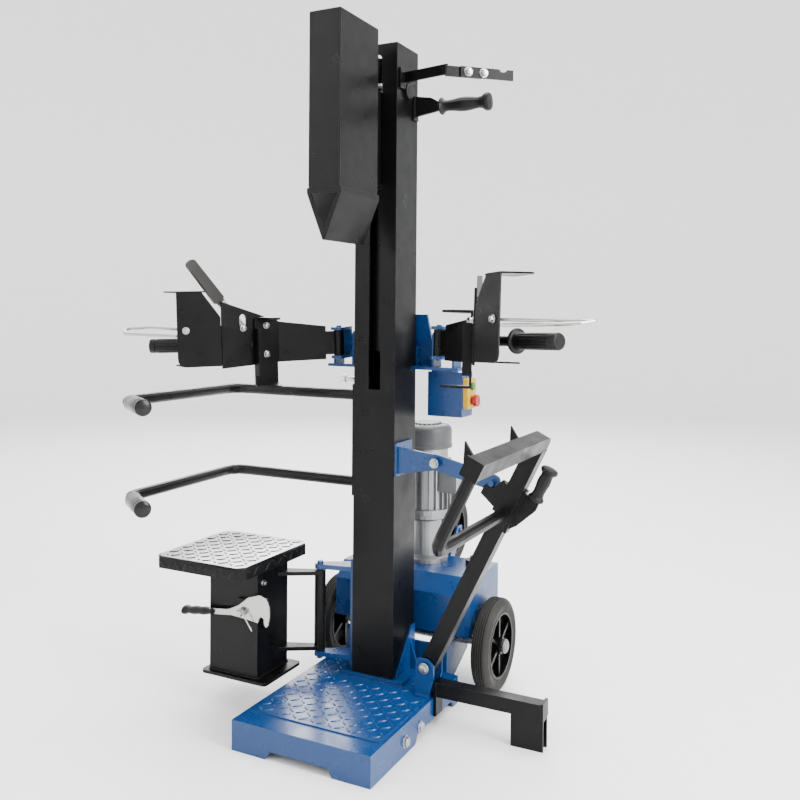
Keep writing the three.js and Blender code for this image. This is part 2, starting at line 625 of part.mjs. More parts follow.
/** Spoked rim with a hub bore, about the X axis. */
function rim(wheel, x0) {
  const { width, hub, bore } = wheel;
  const band = cut(
    rod('x', x0 + 3, x0 + width - 3, [wheel.y, wheel.z], wheel.rim, 32),
    rod('x', x0, x0 + width, [wheel.y, wheel.z], wheel.rim - 6, 32));
  const centre = rod('x', x0 + 1, x0 + width - 1, [wheel.y, wheel.z], hub);
  const disc = rod('x', x0 + width / 2 - 3, x0 + width / 2 + 3, [wheel.y, wheel.z], wheel.rim - 4, 32);
  const spokes = [];
  for (let i = 0; i < 6; i += 1) {
    spokes.push(box(x0 + 9, x0 + width - 9, -4, 4, hub - 4, wheel.rim - 3)
      .rotate([i * 60, 0, 0]).translate([0, wheel.y, wheel.z]));
  }
  const windows = [];
  for (let i = 0; i < 6; i += 1) {
    const angle = THREE.MathUtils.degToRad(i * 60 + 30);
    const reach = (wheel.rim + hub) / 2;
    windows.push(rod('x', x0, x0 + width,
      [wheel.y + reach * Math.cos(angle), wheel.z + reach * Math.sin(angle)], 16, 10));
  }
  return cut(add(band, centre, cut(disc, ...windows), ...spokes),
    rod('x', x0 - 1, x0 + width + 1, [wheel.y, wheel.z], bore + FIT));
}

function axle() {
  const { y, z, x, width, bore } = WHEEL;
  const reach = x + width + 6;
  const tube = rod('x', -reach, reach, [y, z], bore);
  const collars = [-1, 1].map((side) => {
    const [a, b] = [side * (x - 8), side * (x - 1)].sort((p, q) => p - q);
    return rod('x', a, b, [y, z], bore + 7);
  });
  const caps = [-1, 1].map((side) => {
    const [a, b] = [side * (x + width + 1), side * (x + width + 9)].sort((p, q) => p - q);
    return rod('x', a, b, [y, z], bore + 6);
  });
  return add(tube, ...collars, ...caps);
}

piece('axle', axle(), ZINC);
for (const [suffix, x0] of [['left', -WHEEL.x - WHEEL.width], ['right', WHEEL.x]]) {
  piece(`tyre_${suffix}`, tyre(WHEEL, x0), RUBBER);
  piece(`rim_${suffix}`, rim(WHEEL, x0), BLACK);
}

/** Fork that carries the rear support wheel behind the tank. */
function supportFork() {
  const { y, z, width, bore } = SUPPORT;
  const rear = TANK.back + GAP;
  const legX = width / 2 + 6;
  const leg = (x0, x1) => profileX(rounded([[rear + 2, 232], [rear + 24, 232], [y + 16, z - 12],
    [y + 16, z + 16],
    [y - 16, z + 16]], [0, 0, 10, 10, 10]), x0, x1);
  const plate = box(-60, 60, rear, rear + 6, 200, 300);
  const pin = rod('x', -legX - 10, legX + 10, [y, z], bore);
  return add(plate, leg(-legX - 6, -legX), leg(legX, legX + 6), pin);
}

piece('support_fork', supportFork(), BLUE);
piece('support_tyre', tyre(SUPPORT, -SUPPORT.width / 2), RUBBER);
piece('support_rim', rim(SUPPORT, -SUPPORT.width / 2), BLACK);

// ---------------------------------------------------------------- swing-in table
function tableTop() {
  const { x, y, halfX, halfY, top, sheet, lip } = TABLE;
  const c = 14;
  const corners = (inset) => [[x - halfX + inset + c, y - halfY + inset], [x + halfX - inset - c,
    y - halfY + inset],
    [x + halfX - inset, y - halfY + inset + c], [x + halfX - inset, y + halfY - inset - c],
    [x + halfX - inset - c, y + halfY - inset], [x - halfX + inset + c, y + halfY - inset],
    [x - halfX + inset, y + halfY - inset - c], [x - halfX + inset, y - halfY + inset + c]];
  return cut(slab(corners(0), top - lip, top), slab(corners(sheet), top - lip - 1, top - sheet));
}

function tablePedestal() {
  const { x0, x1, y0, y1, low, sheet } = PEDESTAL;
  const topZ = TABLE.top - TABLE.sheet - GAP;
  const shell = cut(box(x0, x1, y0, y1, low, topZ),
    box(x0 + sheet, x1 - sheet, y0 + sheet, y1 - sheet, low + 8, topZ - 6),
    box(x0 + 40, x1 - 40, y0 + 40, y1 - 30, topZ - 10, topZ + 1));
  const foot = slab(rounded([[x0 - 18, y0 - 14], [x1 + 34, y0 - 14], [x1 + 34, y1 + 17], [x0 - 18,
    y1 + 17]],
    [12, 12, 12, 12]), low, low + 8);
  const arms = [130, 330].map((z) => cut(
    slab([[x1 - 2, y1 - 46], [HINGE.x + 4, HINGE.y - 14], [HINGE.x + 4, HINGE.y + 13], [x1 - 2,
      y1 - 2]], z, z + 10),
    rod('z', z - 1, z + 11, [HINGE.x, HINGE.y], HINGE.barrel - 2)));
  const barrel = cut(rod('z', 128, 342, [HINGE.x, HINGE.y], HINGE.barrel),
    rod('z', 127, 343, [HINGE.x, HINGE.y], HINGE.pin + FIT));
  const bracket = box(-300, -262, y0 - 9, y0 + 1, 252, 292);
  return add(shell, foot, ...arms, barrel, bracket);
}

/** Hinge post on the column: two lugs and the upright pin that the table turns on. */
function tableHinge() {
  const x = -COLUMN.halfX - GAP;
  const plate = box(x - 8, x, -58, 20, 90, 380);
  const lugs = [112, 346].map((z) => slab(
    rounded([[x - 1, 10], [x - 1, -56], [HINGE.x - 14, HINGE.y - 13], [HINGE.x - 14,
      HINGE.y + 13]], [0, 0, 10, 10]),
    z, z + 12));
  return add(plate, ...lugs, rod('z', 106, 366, [HINGE.x, HINGE.y], HINGE.pin));
}

/** Zinc latch claw on the front of the pedestal with its flat handle. */
function latchHook() {
  const y = PEDESTAL.y0 - 10 - GAP;
  const bar = profileY(rounded([[-322, 262], [-292, 276], [-262, 300], [-226, 312], [-206, 306],
    [-196, 286], [-195, 262], [-199, 240], [-206, 232], [-212, 240], [-213, 254], [-222, 258],
    [-229, 250], [-231, 240], [-262, 244], [-292, 246], [-322, 248]],
  [4, 8, 10, 8, 8, 8, 6, 3, 3, 3, 2, 3, 3, 2, 8, 6, 4]), y - 6, y);
  const strip = profileY([[-446, 233], [-318, 247], [-318, 262], [-446, 247]], y - 6, y);
  const stud = rod('y', y - 14, y + 1, [-281, 261], 11, 6);
  return add(bar, strip, stud);
}

piece('table_top', tableTop(), BLACK);
piece('table_pedestal', tablePedestal(), BLACK);
piece('table_hinge', tableHinge(), BLUE);
piece('latch_hook', latchHook(), ZINC);

// ---------------------------------------------------------------- log catch hoop
/** One bent bar of the hoop with the thicker sleeve on its front end. */
function catchBar(z, bow) {
  const { radius, reach, front, tip } = CATCH;
  const bar = bentBar([[-COLUMN.halfX - 22, -4, z], [reach, -4, z], [reach + bow, front, z],
    [tip[0], tip[1], z]],
    46, radius, 6, 26);
  const along = new THREE.Vector2(tip[0] - reach - bow, tip[1] - front).normalize();
  const sleeve = bentBar([[tip[0] - along.x * 118, tip[1] - along.y * 118, z], [tip[0], tip[1], z]],
    1, CATCH.sleeve, 8, 400);
  return add(bar, sleeve);
}

function catchHoop() {
  const x = -COLUMN.halfX - GAP;
  const post = box(x - 26, x, -24, 16, CATCH.low - 34, CATCH.high + 30);
  return add(post, catchBar(CATCH.high, 2), catchBar(CATCH.low, 14));
}

piece('catch_hoop', catchHoop(), BLACK);

// ---------------------------------------------------------------- column head fittings
function hookArm() {
  const flat = (a, b, z) => wallPlate(a, b, 6, [[-3, z - 13], [Math.hypot(b[0] - a[0],
    b[1] - a[1]) + 3, z - 13],
    [Math.hypot(b[0] - a[0], b[1] - a[1]) + 3, z + 13], [-3, z + 13]]);
  const x = COLUMN.halfX + GAP;
  const foot = box(x, x + 6, -52, 26, 1608, 1660);
  const clearHead = rod('x', x - 1, x + 8, [0, PIN.z], PIN.headRadius + 2);
  const first = flat([x + 5, -30], [196, -58], 1638);
  const second = flat([196, -58], [262, 4], 1634);
  const bar = flat([224, -32], [323, 61], 1634);
  const notch = rod('y', 20, 70, [310, 1648], 8, 20);
  return cut(add(cut(foot, clearHead), first, second, bar.translate([3.7, -3.7, 0])), notch);
}

function handleBracket() {
  const x = COLUMN.halfX + GAP;
  const plate = profileY(rounded([[x, 1548], [x, 1604], [112, 1596], [136, 1582], [136, 1560], [112, 1556]],
    [0, 0, 10, 8, 8, 10]), 34, 42);
  return add(plate, box(x, x + 6, 28, 54, 1540, 1604), rod('x', 130, 272, [38, 1571], 8));
}

function topGrip() {
  return turned('x', [[8 + GAP, 138], [20, 138], [24, 142], [16, 152], [15, 190], [16, 238], [22,
    262], [24, 272],
    [21, 278], [0, 278], [0, 273], [8 + GAP, 273], [8 + GAP, 138]], [0, 38, 1571], 28);
}

piece('hook_arm', hookArm(), BLACK);
piece('handle_bracket', handleBracket(), BLACK);
piece('top_grip', topGrip(), GRIP);

// ---------------------------------------------------------------- log lifter
/** Clevis on the edge of the tray that the lifter turns in. */
function lifterClevis() {
  const { x, y, z } = LIFTER;
  const floor = TRAY.top + TREAD.thickness + GAP;
  const edge = TREAD.half - GAP;
  const cheek = (y0) => profileY(rounded([[x - 26, floor], [edge, floor], [x + 24, 124], [x + 24, z + 8],
    [x + 6, z + 22], [x - 26, z + 22]], [0, 0, 0, 8, 8, 14]), y0, y0 + 5);
  const base = box(x - 26, edge, y - 34, y + 34, floor, floor + 5);
  const back = box(x - 26, x - 21, y - 23, y + 23, floor, 112);
  return add(cheek(y - 27.5), cheek(y + 22.5), base, back, rod('y', y - 34, y + 34, [x, z], 8));
}

/** Turns a lifter solid that is drawn upright about its pivot to the lean it is parked at. */
const leanOut = (body) => body
  .translate([-LIFTER.x, 0, -LIFTER.z]).rotate([0, LIFTER.lean, 0]).translate([LIFTER.x, 0, LIFTER.z]);

function lifterFrame() {
  const { x, y, z, tube, length, barFront, drop, round } = LIFTER;
  const half = tube / 2;
  const top = z + length;
  const leg = box(x - half, x + half, y - half, y + half, z - 16, top - 36);
  const foot = rod('y', y - half, y + half, [x, z], half);
  const bar = profileX(rounded([[barFront, top - 38], [y + half, top - 38], [y + half, top],
    [barFront, top]], [0, 0, 34, 0]), x - half + 4, x + half - 1);
  const endCap = box(x - half + 2, x + half + 1, barFront - 5, barFront + 1, top - 40, top + 2);
  const loop = bentBar([[x, barFront + 22, top - 28], [x, barFront + 22, top - drop - 48],
    [x, y - half + 4, top - drop - 48]], 40, round, 6, 22);
  const claw = (clawY) => profileY([[x - half + 6, top - 38], [x - half + 6, top - 4],
    [x - half - 24, top + 14], [x - half - 4, top - 34]], clawY, clawY + 8);
  const bore = rod('y', y - half - 1, y + half + 1, [x, z], 8 + FIT);
  const upright = add(leg, foot, bar, endCap, loop, claw(barFront + 24), claw(y - 140), lifterLug(),
    lifterHandle());
  return cut(leanOut(upright), bore);
}

/** Lug on the leg with an open seat that the latch link's bolt lies in. */
function lifterLug() {
  const { x, y, z, tube } = LIFTER;
  const half = tube / 2;
  const seat = z + LATCH.seatHeight - LATCH.boltRadius - 0.4;
  const plate = profileY([[x - half - 54, seat - 28], [x - half + 1, seat - 44], [x - half + 1, seat + 30],
    [x - half - 18, seat + 30], [x - half - 30, seat], [x - half - 42, seat], [x - half - 54,
      seat - 6]], y - 4, y + 4);
  return add(plate, box(x - half - 8, x - half + 1, y - 16, y + 16, seat - 44, seat + 30));
}

/** Pistol handle on the outer face of the leg: a bracket and the rod that its grip sits on. */
function lifterHandle() {
  const { x, y, z, tube } = LIFTER;
  const half = tube / 2;
  const mid = z + 500;
  const plate = profileY([[x + half - 1, mid - 92], [x + half + 20, mid - 64], [x + half + 44, mid - 8],
    [x + half + 44, mid + 16], [x + half - 1, mid + 16]], y - 4, y + 4);
  const rest = box(x + half - 1, x + half + 7, y - 14, y + 14, mid - 92, mid + 24);
  return add(plate, rest, rod('z', mid + 10, mid + 94, [x + half + 31, y], 7));
}

function lifterGrip() {
  const { x, y, z, tube } = LIFTER;
  const centre = [x + tube / 2 + 31, y];
  const low = z + 500 + 16 + GAP;
  const body = rod('z', low, low + 86, centre, 16);
  const collar = rod('z', low, low + 8, centre, 20);
  const flare = rod('z', low + 74, low + 84, centre, 21);
  return leanOut(cut(add(body, collar, flare), rod('z', low - 1, low + 78, centre, 7 + GAP)));
}

/** Bracket on the column that the latch link hangs from. */
function latchBracket() {
  const x = COLUMN.halfX + GAP;
  const { z } = LATCH;
  const y = LIFTER.y;
  const plate = box(x, x + 6, -60, 30, z - 45, z + 40);
  const arm = profileY([[x + 4, z - 40], [x + 4, z + 30], [LATCH.x + 12, z + 16], [LATCH.x + 16, z - 4],
    [LATCH.x + 2, z - 20]], y + 12, y + 18);
  const brace = box(x, x + 40, y + 12, y + 20, z - 30, z + 20);
  return add(plate, arm, brace, rod('y', y - 8, y + 20, [LATCH.x, z], 7));
}

function latchLink() {
  const { x, y, z } = LIFTER;
  const lean = THREE.MathUtils.degToRad(LIFTER.lean);
  const dx = x - LATCH.seatReach * Math.cos(lean) + LATCH.seatHeight * Math.sin(lean) - LATCH.x;
  const dz = z + LATCH.seatReach * Math.sin(lean) + LATCH.seatHeight * Math.cos(lean) - LATCH.z;
  const length = Math.hypot(dx, dz);
  const tilt = THREE.MathUtils.radToDeg(Math.atan2(-dz, dx));
  const flat = profileY(rounded([[-20, -20], [length + 18, -20], [length + 18, 20], [-20, 20]],
    [18, 18, 18, 18]),
    y + 5, y + 11);
  const bolt = rod('y', y - 10, y + 6, [length, 0], LATCH.boltRadius);
  const head = profileY(hexagon(11).map(([a, b]) => [a + length, b]), y + 10, y + 17);
  return cut(add(flat, bolt, head), rod('y', y + 4, y + 12, [0, 0], 7 + FIT))
    .rotate([0, tilt, 0]).translate([LATCH.x, 0, LATCH.z]);
}

piece('lifter_clevis', lifterClevis(), BLUE);
piece('lifter_frame', lifterFrame(), BLACK);
piece('lifter_grip', lifterGrip(), GRIP);
piece('latch_bracket', latchBracket(), BLUE);
piece('latch_link', latchLink(), BLUE);

export default part;
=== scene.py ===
import json
import math
import random

import bmesh
import bpy
from mathutils import Matrix, Vector


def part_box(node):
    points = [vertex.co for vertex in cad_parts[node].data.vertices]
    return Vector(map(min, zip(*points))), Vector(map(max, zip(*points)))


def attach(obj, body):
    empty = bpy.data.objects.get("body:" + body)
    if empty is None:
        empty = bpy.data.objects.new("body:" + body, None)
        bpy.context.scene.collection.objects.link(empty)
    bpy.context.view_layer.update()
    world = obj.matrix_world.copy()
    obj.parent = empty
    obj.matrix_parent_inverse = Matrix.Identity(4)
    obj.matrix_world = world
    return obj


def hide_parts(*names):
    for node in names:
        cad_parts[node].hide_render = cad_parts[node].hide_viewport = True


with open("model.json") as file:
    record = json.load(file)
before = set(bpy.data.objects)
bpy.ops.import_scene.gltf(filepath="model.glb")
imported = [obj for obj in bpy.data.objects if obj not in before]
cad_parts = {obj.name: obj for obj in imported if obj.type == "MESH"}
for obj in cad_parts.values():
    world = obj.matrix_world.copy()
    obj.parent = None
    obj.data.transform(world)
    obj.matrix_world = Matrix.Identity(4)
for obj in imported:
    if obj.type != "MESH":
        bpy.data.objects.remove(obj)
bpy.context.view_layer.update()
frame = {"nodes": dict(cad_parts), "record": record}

MM = 0.001
DICE = random.Random(7)

# ---------------------------------------------------------------- driving dimensions
# Millimetres and degrees, except where a line says metres. Z is height above the floor.
ARM_TILT = 3.2                      # degrees each arm is off level at rest
TILT_AXIS = (0, 60, 950)
KNEE = Vector((285, -81))           # plan points of an arm's folded sheet
GUARD = Vector((350, -240))
TIP = Vector((436.5, -314.4))
SHEET_FACE = 3.2                    # middle of an arm's sheet to just proud of its face
CLAW_FACE = 9.4                     # the same for the claw's flange, which lies on the sheet
CLAW_BOLTS = {"along": 45, "heights": (927, 1004)}
GUARD_BOLTS = {"along": (112, 92), "height": 1000}
GUARD_FOLD = {"heights": (906, 940, 975, 1010), "radius": 4.2, "depth": 1.6}
HANDLE_ROOT = Vector((318, -152))
HANDLE_END = Vector((559, -281))
HANDLE_Z = 955
GRIP_LENGTH = 134
LIFTER_PIVOT = Vector((166, -65, 148))
LIFTER_LEAN = 26                    # degrees out from upright
LIFTER_GRIP_FOOT = Vector((217, -65, 664.3))    # on the lifter when it stands upright
TRAY_TOP = 75.0
TRAY_BOLTS = {"y": (-240, -158), "z": 32}
COLUMN_FOOT = 76.5                  # height of the weld round the column's foot
PEDESTAL_X, PEDESTAL_Y, PEDESTAL_FOOT = (-396, -244), (-228, -92), 89
PEDESTAL_BOLT = (PEDESTAL_X[1] + 0.2, -205, 330)
LATCH_Y = -241.3                    # middle plane of the latch plate
LATCH_SLOPE = 14.5 / 128            # fall of its handle for each millimetre along it
LATCH_HANDLE = Vector((-382, 246.5))            # x and height of a point on the handle's middle line
LATCH_GRIP_X = -372
LATCH_PIVOT = (-281, -251.5, 261)
SPRING_CLIP = [(-262, -247, 270), (-270, -256, 262), (-258, -257, 246), (-246, -257, 230), (-240, -257, 222)]
HOOK_BOLTS = (Vector((240, -24.1, 1634)), Vector((270, 4.1, 1634)))
HOOK_FACE = Vector((0.685, -0.729, 0))          # direction that the hook arm's front faces
HOOK_HALF_SHEET = Vector((2.2, -2.4, 0))        # from the middle of its sheet to its front
CATCH_TIP = (-346, -534)            # plan point where both catch bars end
CATCH_BARS = {"upper_catch": {"z": 808, "corner": (-488, -440)},
              "lower_catch": {"z": 574, "corner": (-476, -440)}}
CATCH_SLEEVE = {"length": 117.0, "radius": 19.5}
LINK_PIVOT = Vector((178, 655))     # x and height of the latch link's pivot
CAMERA_AT = Vector((1.0935, -2.0803, 1.0371))   # metres
CAMERA_YAW, CAMERA_PITCH, CAMERA_ROLL = 26.797, 0.590, 0.450
CAMERA_LENS, CAMERA_SHIFT = 39.82, -0.101
FLOOR_RADIUS, BOWL, WALL = 7.0, 2.5, 6.0        # metres: flat floor, its curve up, height of the wall
LIGHTS = {                          # place, size and power, in metres and watts
    "key_light": ((4.4, -0.9, 2.6), (1.8, 3.4), 430),
    "fill_light": ((-3.4, -3.8, 3.2), (2.2, 3.0), 90),
    "top_light": ((0.2, 0.6, 5.0), (4.0, 4.0), 420),
    "back_light": ((-2.5, 4.2, 3.0), (3.0, 2.0), 190),
}
LIGHT_TARGET = Vector((0, -0.1, 0.8))           # metres
SKY_STRENGTH = 1.6
COATED_FROM = 0.090                 # metres from a clamp lever's pivot to where its coating starts


# ---------------------------------------------------------------- materials
class Tree:
    """A short way to write a node tree."""

    def __init__(self, name):
        self.material = bpy.data.materials.new(name)
        self.material.use_nodes = True
        self.nodes = self.material.node_tree.nodes
        self.links = self.material.node_tree.links
        self.shader = self.nodes["Principled BSDF"]
        self.where = self.nodes.new("ShaderNodeTexCoord").outputs["Object"]

    def node(self, kind, **settings):
        made = self.nodes.new(kind)
        for key, value in settings.items():
            if key in made.inputs:
                made.inputs[key].default_value = value
            else:
                setattr(made, key, value)
        return made

    def link(self, source, target):
        self.links.new(source, target)

    def stretched(self, scale):
        mapping = self.node("ShaderNodeMapping")
        mapping.inputs["Scale"].default_value = scale
        self.link(self.where, mapping.inputs["Vector"])
        return mapping.outputs["Vector"]

    def noise(self, scale, detail=4.0, vector=None):
        made = self.node("ShaderNodeTexNoise", Scale=scale, Detail=detail)
        self.link(vector or self.where, made.inputs["Vector"])
        return made.outputs["Fac"]

    def ranged(self, value, low, high, start=0.3, end=0.7):
        made = self.node("ShaderNodeMapRange")
        for key, number in (("From Min", start), ("From Max", end), ("To Min", low), ("To Max", high)):
            made.inputs[key].default_value = number
        self.link(value, made.inputs["Value"])
        return made.outputs["Result"]

    def math(self, operation, a, b):
        made = self.node("ShaderNodeMath", operation=operation)
        for socket, value in zip(made.inputs, (a, b)):
            if isinstance(value, (int, float)):
                socket.default_value = value
            else:
                self.link(value, socket)
        return made.outputs["Value"]

    def mix(self, factor, a, b):
        made = self.node("ShaderNodeMix", data_type="RGBA")
        self.link(factor, made.inputs[0])
        for socket, value in ((made.inputs[6], a), (made.inputs[7], b)):
            if isinstance(value, tuple):
                socket.default_value = (*value, 1)
            else:
                self.link(value, socket)
        return made.outputs[2]


def shade(color, factor):
    """A colour made darker or lighter."""
    return tuple(min(1.0, c * factor) for c in color)


def surface(name, color, rough, metal=0.0, coat=0.0, mottle=0.12, grain=420.0, relief=0.00012,
            edge=0.0012, wear=None, wear_amount=0.5, brushed=None, spangle=0.0, specular=0.5,
            streaks=None):
    """A painted, plated or moulded surface: mottled colour, fine relief, uneven gloss and worn edges."""
    t = Tree(name)
    patches = t.ranged(t.noise(7.0, 6.0, t.stretched(streaks) if streaks else None), 0.0, 1.0, 0.35, 0.65)
    tone = t.mix(patches, shade(color, 1 - mottle), shade(color, 1 + mottle))
    if spangle:
        cells = t.node("ShaderNodeTexVoronoi", Scale=140.0)
        t.link(t.where, cells.inputs["Vector"])
        flakes = t.ranged(cells.outputs["Color"], 0.0, spangle, 0.0, 1.0)
        tone = t.mix(flakes, tone, shade(color, 0.45))
    rounded = t.node("ShaderNodeBevel", samples=4, Radius=edge)
    if wear:
        flat = t.node("ShaderNodeNewGeometry").outputs["Normal"]
        turn = t.node("ShaderNodeVectorMath", operation="DOT_PRODUCT")
        t.link(rounded.outputs["Normal"], turn.inputs[0])
        t.link(flat, turn.inputs[1])
        on_edge = t.ranged(turn.outputs["Value"], 1.0, 0.0, 0.80, 0.97)
        chips = t.ranged(t.noise(60.0, 5.0), 0.0, wear_amount, 0.45, 0.65)
        tone = t.mix(t.math("MULTIPLY", on_edge, chips), tone, wear)
    t.link(tone, t.shader.inputs["Base Color"])
    smear = t.noise(22.0, 5.0)
    t.link(t.ranged(smear, max(rough - 0.07, 0.03), min(rough + 0.10, 1.0)), t.shader.inputs["Roughness"])
    texture = t.noise(grain, 3.0, t.stretched(brushed) if brushed else None)
    bump = t.node("ShaderNodeBump", Distance=relief, Strength=0.8)
    t.link(texture, bump.inputs["Height"])
    t.link(rounded.outputs["Normal"], bump.inputs["Normal"])
    t.link(bump.outputs["Normal"], t.shader.inputs["Normal"])
    t.shader.inputs["Metallic"].default_value = metal
    t.shader.inputs["Coat Weight"].default_value = coat
    t.shader.inputs["Coat Roughness"].default_value = 0.12
    t.shader.inputs["Specular IOR Level"].default_value = specular
    return t.material


BARE_STEEL = (0.16, 0.155, 0.15)
LOOKS = {
    "black_paint": surface("black_satin_paint", (0.0022, 0.0022, 0.0024), 0.33, mottle=0.25, specular=0.15,
                           wear=BARE_STEEL, wear_amount=0.35),
    "blue_paint": surface("blue_powder_coat", (0.0003, 0.029, 0.118), 0.29, coat=0.12, mottle=0.06,
                          specular=0.35, wear=(0.03, 0.10, 0.24), wear_amount=0.6),
    "zinc": surface("zinc_plate", (0.40, 0.40, 0.385), 0.25, metal=1.0, mottle=0.10, spangle=0.14,
                    grain=240.0),
    "polished_rod": surface("chromed_steel", (0.55, 0.55, 0.56), 0.12, metal=1.0, mottle=0.03,
                            brushed=(1, 1, 0.05), grain=300.0, relief=0.00004),
    "tyre_rubber": surface("tyre_rubber", (0.013, 0.0125, 0.0110), 0.72, mottle=0.25, grain=520.0,
                           specular=0.3, relief=0.0003, wear=(0.04, 0.038, 0.034), wear_amount=0.6),
    "grip_rubber": surface("grip_rubber", (0.0045, 0.0045, 0.0048), 0.42, mottle=0.2, grain=700.0,
                           specular=0.2, relief=0.0002),
    "hose_rubber": surface("hose_rubber", (0.006, 0.006, 0.006), 0.50, grain=900.0, relief=0.0003,
                           specular=0.3),
    "cast_grey": surface("cast_aluminium", (0.24, 0.245, 0.25), 0.40, metal=0.85, mottle=0.14, grain=260.0,
                         relief=0.0004),
    "cowl_grey": surface("cowl_grey_paint", (0.05, 0.052, 0.055), 0.40, mottle=0.12, wear=BARE_STEEL,
                         specular=0.35, wear_amount=0.3),
    "lever_coating": surface("lever_dip_coating", (0.016, 0.0145, 0.0125), 0.50, mottle=0.2, grain=600.0,
                             specular=0.3, relief=0.00025, wear=(0.04, 0.036, 0.03), wear_amount=0.4),
    "yellow_plastic": surface("yellow_plastic", (0.46, 0.27, 0.004), 0.34, mottle=0.06, specular=0.35),
    "red_plastic": surface("red_plastic", (0.30, 0.006, 0.004), 0.30, mottle=0.08, specular=0.35),
    "green_plastic": surface("green_plastic", (0.006, 0.13, 0.022), 0.32, mottle=0.08, specular=0.35),
}
PLATE_STEEL = surface("tread_plate_top", (0.42, 0.42, 0.44), 0.25, metal=0.9, mottle=0.14, grain=300.0,
                      relief=0.0002, wear=(0.6, 0.6, 0.61), wear_amount=0.8)
SLEEVE_GREY = surface("worn_sleeve", (0.030, 0.030, 0.032), 0.26, metal=0.3, mottle=0.9, grain=180.0,
                      relief=0.0004, streaks=(1, 1, 9))
CAP_BLACK = surface("moulded_cap", (0.0040, 0.0040, 0.0043), 0.18, mottle=0.1, specular=0.25)
HUB_GREY = surface("hub_cap_plastic", (0.17, 0.17, 0.165), 0.34, metal=0.3, mottle=0.12)
PALE_FLOOR = surface("studio_floor", (0.90, 0.90, 0.90), 0.60, mottle=0.01, grain=40.0, relief=0.0)
JOINTS = {joint["name"]: joint for joint in frame["record"]["behaviour"]["joints"]}


def lever_look(suffix):
    """Bare zinc round the pivot of a clamp lever and a dipped coating on the rest."""
    t = Tree(f"clamp_lever_{suffix}_finish")
    pivot = tuple(JOINTS[f"clamp_lever_{suffix}"]["pos_m"])
    away = t.node("ShaderNodeVectorMath", operation="DISTANCE")
    t.link(t.where, away.inputs[0])
    away.inputs[1].default_value = pivot
    coated = t.ranged(away.outputs["Value"], 0.0, 1.0, COATED_FROM - 0.001, COATED_FROM + 0.001)
    grey = t.mix(t.ranged(t.noise(90.0), 0.0, 1.0), (0.34, 0.34, 0.33), (0.44, 0.44, 0.42))
    brown = t.mix(t.ranged(t.noise(30.0), 0.0, 1.0), (0.012, 0.011, 0.0095), (0.021, 0.019, 0.016))
    t.link(t.mix(coated, grey, brown), t.shader.inputs["Base Color"])
    t.link(t.math("SUBTRACT", 1.0, coated), t.shader.inputs["Metallic"])
    t.link(t.ranged(coated, 0.27, 0.52, 0.0, 1.0), t.shader.inputs["Roughness"])
    bump = t.node("ShaderNodeBump", Distance=0.0002, Strength=0.8)
    t.link(t.noise(600.0), bump.inputs["Height"])
    rounded = t.node("ShaderNodeBevel", samples=4, Radius=0.002)
    t.link(rounded.outputs["Normal"], bump.inputs["Normal"])
    t.link(bump.outputs["Normal"], t.shader.inputs["Normal"])
    t.shader.inputs["Specular IOR Level"].default_value = 0.3
    return t.material


def dress(node, look):
    """Gives a CAD node its material."""
    for material_slot in frame["nodes"][node].material_slots:
        material_slot.material = look


for subpart in frame["record"]["subparts"]:
    dress(subpart["node"], LOOKS[subpart["material_slot"]])
dress("cylinder_pin", LOOKS["black_paint"])
for suffix in ("left", "right"):
    dress(f"clamp_lever_{suffix}", lever_look(suffix))


# ---------------------------------------------------------------- mesh tools
def box_mm(node):
    """Lowest and highest corners of a CAD node at rest, in millimetres."""
    return [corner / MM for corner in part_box(node)]


def quarter(steps, first):
    """Angles that divide a quarter turn: from 0 with its end left out, or from 1 with its start left out."""
    return [math.pi / 2 * k / steps for k in range(first, first + steps)]


def circle(bm, radius, height, steps):
    """Ring of vertices about Z."""
    turns = [2 * math.pi * i / steps for i in range(steps)]
    return [bm.verts.new((radius * math.cos(a), radius * math.sin(a), height)) for a in turns]


def bridge(bm, low, high):
    """Band of quads between two rings of vertices."""
    count = len(low)
    for i in range(count):
        j = (i + 1) % count
        bm.faces.new((low[i], low[j], high[j], high[i]))


def finish_piece(name, bm, body, look, bevel=0.0, smooth=32, replaces=(), also=()):
    """Turns a bmesh in millimetres into a named piece that rides on a CAD body."""
    bmesh.ops.remove_doubles(bm, verts=bm.verts, dist=0.001)
    bmesh.ops.recalc_face_normals(bm, faces=bm.faces)
    if bevel:
        sharp = [e for e in bm.edges if len(e.link_faces) == 2 and e.calc_face_angle() > math.radians(35)]
        bmesh.ops.bevel(bm, geom=sharp, offset=bevel, segments=2, profile=0.5, affect="EDGES",
                        clamp_overlap=True)
    bmesh.ops.scale(bm, vec=(MM, MM, MM), verts=bm.verts)
    mesh = bpy.data.meshes.new(name)
    bm.to_mesh(mesh)
    bm.free()
    for polygon in mesh.polygons:
        polygon.use_smooth = True
    mesh.set_sharp_from_angle(angle=math.radians(smooth))
    made = bpy.data.objects.new(name, mesh)
    bpy.context.collection.objects.link(made)
    mesh.materials.append(LOOKS[look] if isinstance(look, str) else look)
    for extra in also:
        mesh.materials.append(extra)
    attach(made, body)
    if replaces:
        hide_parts(*replaces)
    return made


def aim(place, direction, spin=0.0):
    """Matrix that puts a solid drawn along local Z at a place, pointing in a direction."""
    turn = Vector(direction).to_track_quat("Z", "Y").to_matrix().to_4x4()
    return Matrix.Translation(Vector(place)) @ turn @ Matrix.Rotation(spin, 4, "Z")


def merge(bm, other, matrix=None):
    """Adds one bmesh to another and frees it."""
    if matrix is not None:
        bmesh.ops.transform(other, matrix=matrix, verts=other.verts)
    mesh = bpy.data.meshes.new("merge")
    other.to_mesh(mesh)
    other.free()
    bm.from_mesh(mesh)
    bpy.data.meshes.remove(mesh)


